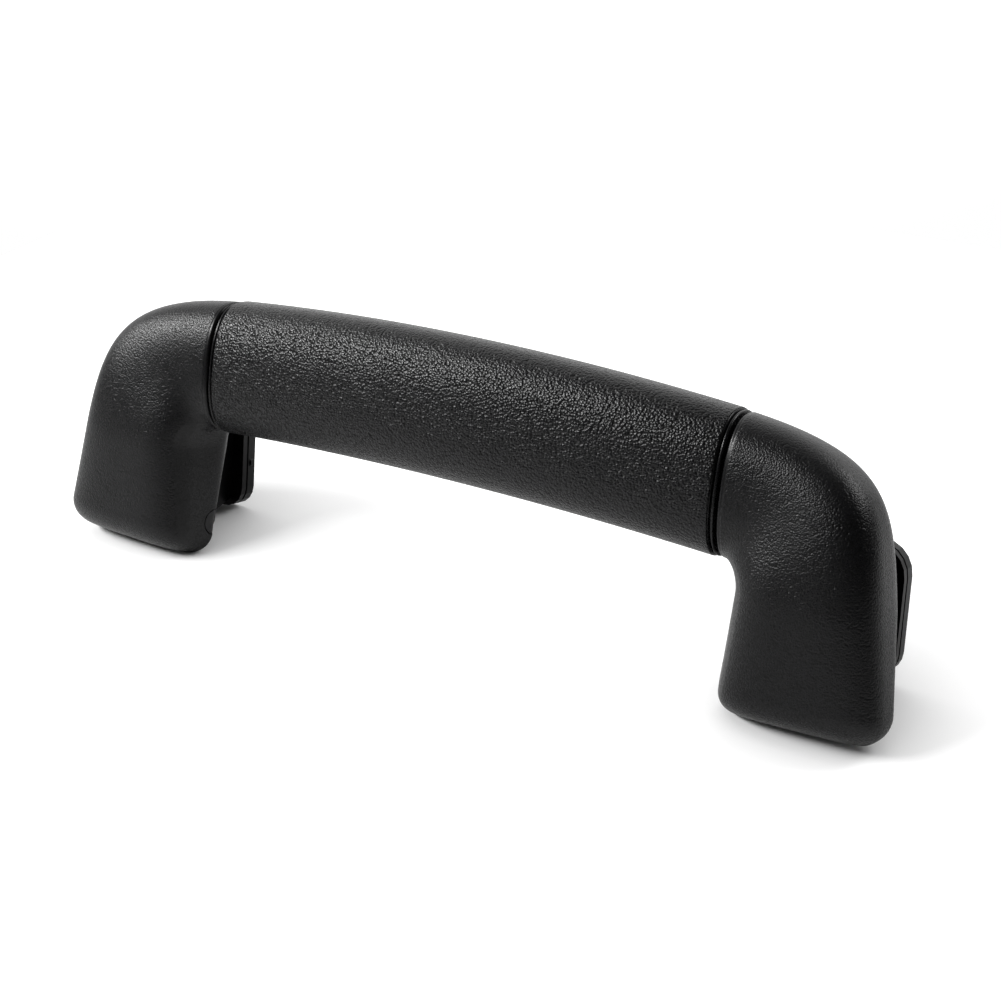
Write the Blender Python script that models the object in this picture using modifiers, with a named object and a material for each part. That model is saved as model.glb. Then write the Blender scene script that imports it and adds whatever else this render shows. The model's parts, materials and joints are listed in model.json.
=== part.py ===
"""Folding roof grab handle of a vehicle, with its two hinge brackets, return spring and rotary damper.

Units are metres and +Z is up. The handle is long along X and its grip faces -Y. It is shown folded
against its brackets, which stand behind the feet with their fixing faces towards +Y. The feet stand on
z = 0. Every sub-part is built for the right side, or for both sides by the sign of x. The grip and
housings are lofts between unlike sections: an outer line runs along the arch, round the shoulder and
down the flank, an inner line runs along the underside, round the inner corner and down the foot's
inner wall, and each section spans from one to the other.
"""

import math

import bmesh
import bpy
import numpy as np
from mathutils import Matrix

COLLECTION_NAME = "roof_grab_handle"

# Grip: the arched bar between the two seams
SEAM_X = 0.0626
TOP_Z = 0.0629
GRIP_HEIGHT = 0.0302
GRIP_DEPTH = 0.0184
GRIP_BOW = 0.0020
TOP_ARCH_RADIUS = 0.606
UNDER_ARCH_RADIUS = 0.800
GRIP_SQUARENESS = 2.44
SLEEVE_WALL = 0.0023
SLEEVE_PROUD = 0.0003
SEAM_GAP = 0.0006
SEAM_EDGE = 0.0006

# End housing: shoulder, flank and foot
HOUSING_REACH = 0.0405
HOUSING_WALL = 0.0024
FLANK_TOP_Z = 0.0268
FLANK_ANGLE = math.radians(10.0)
SHOULDER_TOP_FULLNESS = 0.97
SHOULDER_FLANK_FULLNESS = 0.72
SHOULDER_FRONT = 0.0126
SHOULDER_REAR = 0.0076
FOOT_FRONT = 0.0115
FOOT_REAR = 0.0034
FOOT_SQUARENESS = 3.4
FOOT_ROUND_DEPTH = 0.0070
FOOT_ROUND_INNER = 0.0044
FOOT_ROUND_OUTER = 0.0068
FOOT_OUTER_RISE = 0.0011
INNER_STEP = 0.0006
INNER_SLANT = 0.0056
OUTER_SLANT = 0.0006
INNER_DRAFT = math.radians(1.6)
INNER_BEND = 0.0050
REAR_OPENING_START = 0.30
REAR_OPENING_SHARE = 0.75

# Core bar inside the sleeve, with a spigot and a screwed tongue in each housing
SPIGOT_LENGTH = 0.0050
SPIGOT_TAPER = 0.0006
TONGUE_LENGTH = 0.0240
TONGUE_HEIGHT = 0.0110
TONGUE_DEPTH = 0.0040
TONGUE_DROP = 0.0015
TONGUE_CORNER = 0.0030
SCREW_INSET = 0.0045
SCREW_PITCH = 0.0085
SCREW_RADIUS = 0.0015
SCREW_LENGTH = 0.0095
SCREW_HEAD_RADIUS = 0.0029
SCREW_HEAD_HEIGHT = 0.0020
SCREW_RECESS_RADIUS = 0.0012
SCREW_BOSS_RADIUS = 0.0034

# Hinge in each foot
HINGE_INSET = 0.0030
HINGE_Z = 0.0076
PIN_RADIUS = 0.0020
PIN_SEAT = 0.0045
EAR_INSET = 0.0103
PIN_HEAD_RADIUS = 0.0028
PIN_HEAD_LENGTH = 0.0022
EAR_BOSS_RADIUS = 0.0039
EAR_HEIGHT = 0.0150
EAR_THICKNESS = 0.0022
BUSH_WALL = 0.0005
BUSH_FLANGE = 0.0005
BUSH_FLANGE_RADIUS = 0.0039

# Bracket: flange plate with a boxed neck that ends in the hinge knuckle
NECK_WIDTH = 0.0160
CHEEK = 0.0022
KNUCKLE_RADIUS = 0.0050
HORN_HEIGHT = 0.0166
HORN_BRIDGE = 0.0011
HORN_BRIDGE_DROP = 0.0112
NECK_TOP_RUN = 0.0084
WEB = 0.0020
PLATE_REACH = 0.0211
PLATE_THICKNESS = 0.0025
PLATE_GROOVE = 0.0005
PLATE_GROOVE_DEPTH = 0.0007
PLATE_FRONT = 0.0010
PLATE_LIP = 0.0005
PLATE_LIP_WIDTH = 0.0014
PLATE_BOTTOM_Z = 0.0060
PLATE_HEIGHT = 0.0296
PLATE_OUTER_RISE = 0.0024
PLATE_WIDTH_BOTTOM = 0.0250
PLATE_WIDTH_TOP = 0.0224
PLATE_CORNER = 0.0050
PLATE_TOP_CORNER = 0.0068
PLATE_OFFSET = 0.0004
NECK_BELOW_PLATE_TOP = 0.0022
NECK_ABOVE_PLATE_FOOT = 0.0024
NUB_RADIUS = 0.0012
NUB_HEIGHT = 0.0116
NUB_PROUD = 0.35
FIXING_RISE = 0.0150
FIXING_BORE = 0.0028
FIXING_BUSH_WALL = 0.0010
FIXING_FLANGE = 0.0012
FIXING_FLANGE_HEIGHT = 0.0008
COVER_THICKNESS = 0.0012
COVER_LEDGE = 0.0008
BUFFER_DEPTH = 0.0018
BUFFER_HEIGHT = 0.0050
BUFFER_WIDTH = 0.0080
BUFFER_DROP = 0.0022

# Torsion spring on the left pin and rotary damper on the right pin
SPRING_WIRE = 0.00055
SPRING_RADIUS = 0.0031
SPRING_TURNS = 5.75
SPRING_END_GAP = 0.0006
SPRING_BRACKET_LEG = 0.0140
SPRING_HOUSING_LEG = 0.0068
CATCH_THICKNESS = 0.0018
DAMPER_RADIUS = 0.0049
DAMPER_WALL = 0.0010
DAMPER_CAP = 0.0010
ROTOR_NECK_WALL = 0.0005
ROTOR_DRUM_RADIUS = 0.0035
SEAL_WIRE = 0.0003
DAMPER_TAB_LENGTH = 0.0026
DAMPER_TAB_HEIGHT = 0.0020
RIB = 0.0015

# Clearance between pieces that seat on each other, and the gap between the handle and moving neighbours
FIT = 0.0003
RUN = 0.0004
RELIEF = 0.0001
WELD = 0.00001

# Facets
SIDES = 28
CAVITY_SIDES = 20
ROUND_SIDES = 20
FAN_STEPS = 9
LEG_STEPS = 2
GRIP_STEPS = 10
CORNER_STEPS = 5
FOOT_ROUND_ANGLES = (0, 24, 46, 68, 90)
KNUCKLE_STEPS = 10

# Places that follow from the sizes
BAR_Y = (SHOULDER_FRONT - PLATE_REACH) / 2
MOUTH_X = SEAM_X + SEAM_GAP / 2
FAN_X = MOUTH_X + SEAM_EDGE
HINGE_Y = BAR_Y + FOOT_REAR - HINGE_INSET
INNER_WALL_X = SEAM_X + INNER_STEP
FLANK_X = SEAM_X + HOUSING_REACH
EAR_X = SEAM_X + EAR_INSET
NECK_X = EAR_X + FIT + BUSH_FLANGE + FIT
NECK_END_X = NECK_X + NECK_WIDTH
OUTER_EAR_X = NECK_END_X + FIT + BUSH_FLANGE + FIT
NECK_MID_X = NECK_X + NECK_WIDTH / 2
PLATE_REAR_Y = BAR_Y + PLATE_REACH
PLATE_FRONT_Y = PLATE_REAR_Y - PLATE_THICKNESS - PLATE_GROOVE - PLATE_FRONT
PLATE_TOP_Z = PLATE_BOTTOM_Z + PLATE_HEIGHT
NECK_FOOT_Z = PLATE_BOTTOM_Z + NECK_ABOVE_PLATE_FOOT
NECK_TOP_Z = PLATE_TOP_Z - NECK_BELOW_PLATE_TOP
HORN_TOP_Z = HINGE_Z + HORN_HEIGHT
HORN_FRONT_Y = HINGE_Y - KNUCKLE_RADIUS
BUSH_RADIUS = PIN_RADIUS + FIT + BUSH_WALL
SWEEP_RADIUS = math.hypot(KNUCKLE_RADIUS, HORN_HEIGHT) + RUN


def grip_top(x):
    return TOP_Z - x * x / (2 * TOP_ARCH_RADIUS)


def grip_under(x):
    return TOP_Z - GRIP_HEIGHT - x * x / (2 * UNDER_ARCH_RADIUS)


def grip_axis_y(x):
    """The grip bows forward in the middle."""
    return BAR_Y - GRIP_BOW * max(0.0, 1 - (x / SEAM_X) ** 2)


TONGUE_Z = (grip_top(SEAM_X) + grip_under(SEAM_X)) / 2 - TONGUE_DROP
SPIGOT_END_X = SEAM_X + SPIGOT_LENGTH
TONGUE_END_X = SEAM_X + TONGUE_LENGTH


# Scene and mesh helpers


def clear_scene():
    for obj in list(bpy.data.objects):
        bpy.data.objects.remove(obj, do_unlink=True)
    for group in list(bpy.data.collections):
        bpy.data.collections.remove(group)


def new_collection(name):
    group = bpy.data.collections.new(name)
    bpy.context.scene.collection.children.link(group)
    return group


def material(name, colour, roughness, metallic=0.0):
    mat = bpy.data.materials.new(name)
    mat.use_nodes = True
    shader = mat.node_tree.nodes["Principled BSDF"]
    shader.inputs["Base Color"].default_value = (*colour, 1.0)
    shader.inputs["Roughness"].default_value = roughness
    shader.inputs["Metallic"].default_value = metallic
    return mat


def object_from_bmesh(name, bm, group):
    bmesh.ops.recalc_face_normals(bm, faces=bm.faces)
    mesh = bpy.data.meshes.new(name)
    bm.to_mesh(mesh)
    bm.free()
    obj = bpy.data.objects.new(name, mesh)
    group.objects.link(obj)
    if group is cutters:
        mark_cutter(obj)
    return obj


def mark_cutter(obj):
    obj.hide_render = True
    obj.display_type = "WIRE"


def loft(name, rings, group):
    """A closed solid through rings of equal point count, capped at both ends."""
    bm = bmesh.new()
    rows = [[bm.verts.new(point) for point in ring] for ring in rings]
    count = len(rows[0])
    for low, high in zip(rows, rows[1:]):
        for i in range(count):
            j = (i + 1) % count
            bm.faces.new((low[i], low[j], high[j], high[i]))
    bm.faces.new(rows[0])
    bm.faces.new(rows[-1])
    bmesh.ops.triangulate(bm, faces=bm.faces)
    return object_from_bmesh(name, bm, group)


def box(name, x, y, z, group):
    """A box between the given pairs of x, y and z."""
    bm = bmesh.new()
    bmesh.ops.create_cube(bm, size=1.0)
    spans = [sorted(pair) for pair in (x, y, z)]
    for vert in bm.verts:
        vert.co = [low + (high - low) * (c + 0.5) for (low, high), c in zip(spans, vert.co)]
    return object_from_bmesh(name, bm, group)


def prism(name, outline, x, group):
    """A flat (y, z) outline with its thickness between two x."""
    turn = Matrix(((0, 0, 1), (1, 0, 0), (0, 1, 0))).to_4x4()
    place = Matrix.Translation(((x[0] + x[1]) / 2, 0, 0)) @ turn
    return flat(name, outline, place, abs(x[1] - x[0]), group)


def plate(name, outline, y, group):
    """A flat (x, z) outline with its thickness between two y."""
    turn = Matrix(((1, 0, 0), (0, 0, -1), (0, 1, 0))).to_4x4()
    place = Matrix.Translation((0, (y[0] + y[1]) / 2, 0)) @ turn
    return flat(name, outline, place, abs(y[1] - y[0]), group)


def flat(name, outline, place, thickness, group):
    """A filled 2D curve with a thickness, made a mesh so that it can be joined and cut."""
    curve = bpy.data.curves.new(name, "CURVE")
    curve.dimensions = "2D"
    curve.fill_mode = "BOTH"
    curve.extrude = thickness / 2
    spline = curve.splines.new("POLY")
    spline.use_cyclic_u = True
    spline.points.add(len(outline) - 1)
    for target, (a, b) in zip(spline.points, outline):
        target.co = (a, b, 0.0, 1.0)
    obj = curve_to_mesh(name, curve, group)
    obj.matrix_world = place
    return obj


def curve_to_mesh(name, curve, group):
    """A curve becomes a mesh whose caps are welded to its sides."""
    source = bpy.data.objects.new(f"{name}_curve", curve)
    group.objects.link(source)
    mesh = bpy.data.meshes.new_from_object(source.evaluated_get(bpy.context.evaluated_depsgraph_get()))
    bpy.data.objects.remove(source, do_unlink=True)
    bm = bmesh.new()
    bm.from_mesh(mesh)
    bmesh.ops.remove_doubles(bm, verts=bm.verts, dist=WELD)
    return object_from_bmesh(name, bm, group)


def turned(name, profile, centre, group, axis="X", side=1, hollow=False, sides=ROUND_SIDES):
    """A turned shape: profile pairs are (along, radius) from the centre, along the axis."""
    pairs = [(radius, along) for along, radius in profile]
    if not hollow:
        pairs = [(0.0, pairs[0][1])] + pairs + [(0.0, pairs[-1][1])]
    if sum(a[0] * b[1] - b[0] * a[1] for a, b in zip(pairs, pairs[1:] + pairs[:1])) > 0:
        pairs.reverse()
    mesh = bpy.data.meshes.new(name)
    edges = [(i, i + 1) for i in range(len(pairs) - 1)]
    if hollow:
        edges.append((len(pairs) - 1, 0))
    mesh.from_pydata([(radius, 0, along) for radius, along in pairs], edges, [])
    obj = bpy.data.objects.new(name, mesh)
    group.objects.link(obj)
    obj.location = centre
    obj.rotation_euler = (0, side * math.pi / 2, 0) if axis == "X" else (-math.pi / 2, 0, 0)
    screw = obj.modifiers.new("turn", "SCREW")
    screw.steps = sides
    screw.render_steps = sides
    screw.use_merge_vertices = True
    screw.merge_threshold = WELD
    if group is cutters:
        mark_cutter(obj)
    return obj


def combine(obj, other, operation):
    """Boolean with a solid of the cutter collection."""
    modifier = obj.modifiers.new(f"{operation.lower()}_{other.name}", "BOOLEAN")
    modifier.operation = operation
    modifier.solver = "EXACT"
    modifier.object = other
    return obj


def finish_piece(obj, mat, pivot):
    """Gives the piece its material and smooth shading, and hangs it on the empty of its body."""
    obj.data.materials.append(mat)
    obj.data.shade_smooth()
    obj.data.set_sharp_from_angle(angle=math.radians(35))
    obj.parent = pivot
    obj.matrix_parent_inverse = pivot.matrix_world.inverted()
    return obj


def mirrored(obj, name):
    """The opposite-hand copy of a finished piece, with its cuts and joins worked in."""
    mesh = bpy.data.meshes.new_from_object(obj.evaluated_get(bpy.context.evaluated_depsgraph_get()))
    bm = bmesh.new()
    bm.from_mesh(mesh)
    bmesh.ops.transform(bm, matrix=Matrix.Scale(-1, 4, (1, 0, 0)) @ obj.matrix_world, verts=bm.verts)
    bmesh.ops.reverse_faces(bm, faces=bm.faces)
    return object_from_bmesh(name, bm, parts)


def rounded_outline(corners, radii, steps=CORNER_STEPS):
    """A polygon's corners replaced by arcs."""
    points = []
    count = len(corners)
    for i, (corner, radius) in enumerate(zip(corners, radii)):
        here = np.array(corner, float)
        to_last = np.array(corners[i - 1], float) - here
        to_next = np.array(corners[(i + 1) % count], float) - here
        if radius <= 0:
            points.append(tuple(here))
            continue
        a = to_last / np.linalg.norm(to_last)
        b = to_next / np.linalg.norm(to_next)
        half = math.acos(np.clip(a @ b, -1, 1)) / 2
        cut = radius / math.tan(half)
        start, end = here + a * cut, here + b * cut
        centre = here + (a + b) / np.linalg.norm(a + b) * radius / math.sin(half)
        first, last = start - centre, end - centre
        turn = math.atan2(first[0] * last[1] - first[1] * last[0], first @ last)
        for k in range(steps + 1):
            angle = turn * k / steps
            c, s = math.cos(angle), math.sin(angle)
            points.append(tuple(centre + (c * first[0] - s * first[1], s * first[0] + c * first[1])))
    return points


# Sections of the grip and the housings


class Station:
    """A section's outer and inner point, its front and rear, and the skin that it follows."""

    def __init__(self, outer, inner, skin, inset=0.0, squareness=2.0, slants=(0.0, 0.0), open_rear=None):
        self.outer = np.array(outer)
        self.inner = np.array(inner)
        self.skin = skin
        self.front = skin[0] + inset
        self.rear = skin[1] - inset
        self.squareness = squareness
        self.slants = slants
        self.open_rear = open_rear

    def shifted(self, dx, draw):
        """Moved along x and drawn in, for the rounded edges at a seam."""
        outer, inner = self.outer + (dx, -draw), self.inner + (dx, draw)
        copy = Station(outer, inner, self.skin, 0.0, self.squareness, self.slants)
        copy.front = self.front + draw
        copy.rear = self.rear - draw
        return copy


def section(station, side=1, sides=SIDES):
    """One closed ring in the plane of the station's outer point, its inner point and the Y direction."""
    middle = (station.outer + station.inner) / 2
    half = (station.outer - station.inner) / 2
    along = half / np.linalg.norm(half)
    skin_front, skin_rear = station.skin
    centre_y = (skin_front + skin_rear) / 2
    ring = []
    for i in range(sides):
        angle = 2 * math.pi * i / sides
        c, s = math.cos(angle), math.sin(angle)
        v = math.copysign(abs(c) ** (2 / station.squareness), c)
        w = math.copysign(abs(s) ** (2 / station.squareness), s)
        y = centre_y + w * (station.rear - centre_y if s > 0 else centre_y - station.front)
        if station.open_rear and w > REAR_OPENING_SHARE:
            y = station.open_rear
        forward = min(1.0, max(0.0, (skin_rear - y) / (skin_rear - skin_front)))
        slant = -v * station.slants[0 if v < 0 else 1]
        x, z = middle + v * half + along * slant * forward
        ring.append((side * x, y, z))
    return ring


def grip_station(x, inset=0.0):
    """The grip's section at x, drawn in by inset all round."""
    axis_y = grip_axis_y(x)
    skin = (axis_y - GRIP_DEPTH / 2, axis_y + GRIP_DEPTH / 2)
    outer = (x, grip_top(x) - inset)
    inner = (x, grip_under(x) + inset)
    return Station(outer, inner, skin, inset, GRIP_SQUARENESS)


def smooth(t):
    return t * t * (3 - 2 * t)


def bezier(p0, p1, p2, p3, t):
    """Point and unit direction on a cubic curve."""
    p0, p1, p2, p3 = (np.array(p, float) for p in (p0, p1, p2, p3))
    s = 1 - t
    point = s**3 * p0 + 3 * s * s * t * p1 + 3 * s * t * t * p2 + t**3 * p3
    direction = s * s * (p1 - p0) + 2 * s * t * (p2 - p1) + t * t * (p3 - p2)
    return point, direction / np.linalg.norm(direction)


def crossing(point_a, direction_a, point_b, direction_b):
    """Where two lines cross."""
    a, b = np.array(point_a, float), np.array(point_b, float)
    da, db = np.array(direction_a, float), np.array(direction_b, float)
    s = ((b - a)[0] * db[1] - (b - a)[1] * db[0]) / (da[0] * db[1] - da[1] * db[0])
    return a + s * da


def flank_x(z):
    """The straight flank leans outwards on its way down."""
    return FLANK_X - (z - FOOT_OUTER_RISE) * math.tan(FLANK_ANGLE)


def inner_wall_x(z):
    return INNER_WALL_X + z * math.tan(INNER_DRAFT)


def outer_line(t):
    """The shoulder, from the seam at t = 0 to the top of the straight flank at t = 1."""
    start = np.array((FAN_X, grip_top(FAN_X)))
    along = np.array((1.0, -FAN_X / TOP_ARCH_RADIUS))
    end = np.array((flank_x(FLANK_TOP_Z), FLANK_TOP_Z))
    down = np.array((math.sin(FLANK_ANGLE), -math.cos(FLANK_ANGLE)))
    corner = crossing(start, along, end, down)
    handle_a = start + SHOULDER_TOP_FULLNESS * (corner - start)
    handle_b = end + SHOULDER_FLANK_FULLNESS * (corner - end)
    return bezier(start, handle_a, handle_b, end, t)


def inner_line(t):
    """The inner corner, from the seam at t = 0 to the foot's straight inner wall at t = 1."""
    start = np.array((FAN_X, grip_under(FAN_X)))
    along = np.array((1.0, -FAN_X / UNDER_ARCH_RADIUS))
    wall = np.array((inner_wall_x(0), 0.0))
    up = np.array((math.tan(INNER_DRAFT), 1.0))
    corner = crossing(start, along, wall, up)
    end = corner - up * INNER_BEND
    return bezier(start, start + 0.8 * (corner - start), end + 0.6 * (corner - end), end, t)


def rounding(height, radius):
    """How far a rounded foot edge draws in at a height above the foot's underside."""
    if height >= radius:
        return 0.0
    return radius - math.sqrt(radius**2 - (radius - height) ** 2)


def housing_stations(inset=0.0, open_rear=None):
    """Sections of the right housing from seam to foot, drawn in by inset.

    A cutter's rear lies at open_rear.
    """
    stations = []
    grip_front, grip_rear = BAR_Y - GRIP_DEPTH / 2, BAR_Y + GRIP_DEPTH / 2
    for i in range(FAN_STEPS + 1):
        t = i / FAN_STEPS
        g = smooth(t)
        (ox, oz), (dox, doz) = outer_line(t)
        (ix, iz), (dix, diz) = inner_line(t)
        outer = (ox + doz * inset, oz - dox * inset)
        inner = (ix - diz * inset, iz + dix * inset)
        skin = (
            grip_front + g * (BAR_Y - SHOULDER_FRONT - grip_front),
            grip_rear + g * (BAR_Y + SHOULDER_REAR - grip_rear),
        )
        opened = open_rear if t > REAR_OPENING_START else None
        squareness = GRIP_SQUARENESS + g * (FOOT_SQUARENESS - GRIP_SQUARENESS)
        slants = (INNER_SLANT * g, OUTER_SLANT * g)
        stations.append(Station(outer, inner, skin, inset, squareness, slants, opened))

    fan_inner_z = inner_line(1.0)[0][1]
    round_depth = max(FOOT_ROUND_DEPTH - inset, 0.002)
    round_inner = max(FOOT_ROUND_INNER - inset, 0.0005)
    round_outer = max(FOOT_ROUND_OUTER - inset, 0.0005)
    side_shift = inset / math.cos(FLANK_ANGLE)
    places = [(k / (LEG_STEPS + 1), round_depth) for k in range(1, LEG_STEPS + 1)]
    places += [(1.0, round_depth * (1 - math.sin(math.radians(a)))) for a in FOOT_ROUND_ANGLES]
    for share, height in places:
        inner_z = inset + height + (1 - share) * (fan_inner_z - inset - round_depth)
        outer_z = inset + height + FOOT_OUTER_RISE + (1 - share) * (
            FLANK_TOP_Z - inset - round_depth - FOOT_OUTER_RISE
        )
        outer = (flank_x(outer_z) - side_shift - rounding(height, round_outer), outer_z)
        inner = (inner_wall_x(inner_z) + inset + rounding(height, round_inner), inner_z)
        draw = rounding(height, round_depth)
        skin = (
            BAR_Y - SHOULDER_FRONT + share * (SHOULDER_FRONT - FOOT_FRONT) + draw,
            BAR_Y + SHOULDER_REAR + share * (FOOT_REAR - SHOULDER_REAR) - draw,
        )
        slants = (INNER_SLANT, OUTER_SLANT)
        stations.append(Station(outer, inner, skin, inset, FOOT_SQUARENESS, slants, open_rear))
    return stations


# Grip pieces


def make_grip_sleeve():
    """Soft sleeve over the core bar, with rounded ends at the seams."""
    end = SEAM_X - SEAM_GAP / 2
    edge = SEAM_EDGE + SLEEVE_PROUD
    rings = []
    for x, draw in [(-end, edge), (-end + 0.35 * edge, 0.35 * edge)]:
        rings.append(section(grip_station(x, draw - SLEEVE_PROUD)))
    for i in range(GRIP_STEPS + 1):
        x = (end - edge) * (2 * i / GRIP_STEPS - 1)
        rings.append(section(grip_station(x, -SLEEVE_PROUD)))
    for x, draw in [(end - 0.35 * edge, 0.35 * edge), (end, edge)]:
        rings.append(section(grip_station(x, draw - SLEEVE_PROUD)))
    sleeve = loft("grip_sleeve", rings, parts)
    reach = SEAM_X + SEAM_GAP
    hollow = [
        section(grip_station(reach * (2 * i / GRIP_STEPS - 1), SLEEVE_WALL), sides=CAVITY_SIDES)
        for i in range(GRIP_STEPS + 1)
    ]
    return combine(sleeve, loft("sleeve_hollow", hollow, cutters), "DIFFERENCE")


def make_core_bar():
    """Stiff bar that fills the sleeve, plugs into both housings and carries a screwed tongue at each end."""
    rings = []
    half = [(SEAM_X * i / (GRIP_STEPS // 2), SLEEVE_WALL + FIT) for i in range(GRIP_STEPS // 2 + 1)]
    half.append((SEAM_X + SEAM_GAP, HOUSING_WALL + 2 * FIT))
    half.append((SPIGOT_END_X, HOUSING_WALL + 2 * FIT + SPIGOT_TAPER))
    whole = [(-x, inset) for x, inset in reversed(half[1:])] + half
    for x, inset in whole:
        rings.append(section(grip_station(x, inset), sides=CAVITY_SIDES))
    core = loft("core_bar", rings, parts)
    low, high = TONGUE_Z - TONGUE_HEIGHT / 2, TONGUE_Z + TONGUE_HEIGHT / 2
    for side, label in ((1, "right"), (-1, "left")):
        root = side * (SPIGOT_END_X - SPIGOT_LENGTH / 2)
        tip = side * TONGUE_END_X
        outline = rounded_outline(
            [(root, low), (tip, low), (tip, high), (root, high)], [0, TONGUE_CORNER, TONGUE_CORNER, 0]
        )
        thickness = (BAR_Y - TONGUE_DEPTH / 2, BAR_Y + TONGUE_DEPTH / 2)
        tongue = plate(f"{label}_tongue", outline, thickness, cutters)
        combine(core, tongue, "UNION")
        for k, x in enumerate(screw_places()):
            hole = turned(
                f"{label}_tongue_hole_{k}",
                [(-TONGUE_DEPTH, SCREW_RADIUS + FIT), (TONGUE_DEPTH, SCREW_RADIUS + FIT)],
                (side * x, BAR_Y, TONGUE_Z),
                cutters,
                axis="Y",
                sides=16,
            )
            combine(core, hole, "DIFFERENCE")
    return core


def screw_places():
    last = TONGUE_END_X - SCREW_INSET
    return [last - SCREW_PITCH, last]


def make_housing(side, label):
    """Moulded end housing: an open-backed shell with hinge ears, ribs, screw bosses, pad and catch."""
    stations = housing_stations()
    rounded = [(0.0, 1.0), (0.3, 0.3)]
    edge = [stations[0].shifted((at - 1) * SEAM_EDGE, draw * SEAM_EDGE) for at, draw in rounded]
    rings = [section(station, side) for station in edge + stations]
    housing = loft(f"{label}_end_housing", rings, parts)

    open_rear = PLATE_REAR_Y + PLATE_REACH
    cavity = housing_stations(HOUSING_WALL, open_rear)
    mouth = cavity[0].shifted(-SEAM_GAP - SEAM_EDGE, 0.0)
    hollow = loft(
        f"{label}_cavity", [section(s, side, CAVITY_SIDES) for s in [mouth] + cavity[1:]], cutters
    )
    combine(housing, hollow, "DIFFERENCE")
    combine(housing, make_housing_insides(side, label), "UNION")

    bore_end = OUTER_EAR_X + PIN_SEAT + FIT
    head_end = pin_head_x() + PIN_HEAD_LENGTH + FIT
    for k, (start, end) in enumerate(((head_end + RELIEF, EAR_X), (OUTER_EAR_X + RIB / 2, bore_end + RIB))):
        profile = [(start, EAR_BOSS_RADIUS), (end, EAR_BOSS_RADIUS)]
        boss = turned(f"{label}_ear_boss_{k}", profile, (0, HINGE_Y, HINGE_Z), cutters, side=side)
        combine(housing, boss, "UNION")
    bore = turned(
        f"{label}_pin_bore",
        [
            (SEAM_X - PIN_SEAT, PIN_HEAD_RADIUS + FIT),
            (head_end, PIN_HEAD_RADIUS + FIT),
            (head_end, PIN_RADIUS + FIT),
            (bore_end, PIN_RADIUS + FIT),
        ],
        (0, HINGE_Y, HINGE_Z),
        cutters,
        side=side,
    )
    openings = combine(make_neck_slot(side, label), bore, "UNION")
    for k, x in enumerate(screw_places()):
        pilot_front = BAR_Y + TONGUE_DEPTH / 2 + FIT - SCREW_LENGTH - FIT
        pilot = turned(
            f"{label}_pilot_{k}",
            [(pilot_front - BAR_Y, SCREW_RADIUS + FIT), (TONGUE_DEPTH, SCREW_RADIUS + FIT)],
            (side * x, BAR_Y, TONGUE_Z),
            cutters,
            axis="Y",
            sides=16,
        )
        combine(openings, pilot, "UNION")
    return combine(housing, openings, "DIFFERENCE")


def make_neck_slot(side, label):
    """Room for the knuckle and for the neck, which swings from the open rear to below the foot."""
    radius = KNUCKLE_RADIUS + RUN
    rear = BAR_Y + FOOT_REAR + PLATE_REACH
    outline = [(rear, HINGE_Z), (rear, -HINGE_Z), (HINGE_Y - radius, -HINGE_Z)]
    for k in range(KNUCKLE_STEPS + 1):
        angle = math.pi * (1 - k / KNUCKLE_STEPS)
        outline.append((HINGE_Y + radius * math.cos(angle), HINGE_Z + radius * math.sin(angle)))
    x = (side * (EAR_X - RELIEF), side * (OUTER_EAR_X + RELIEF))
    return prism(f"{label}_neck_slot", outline, x, cutters)


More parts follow.
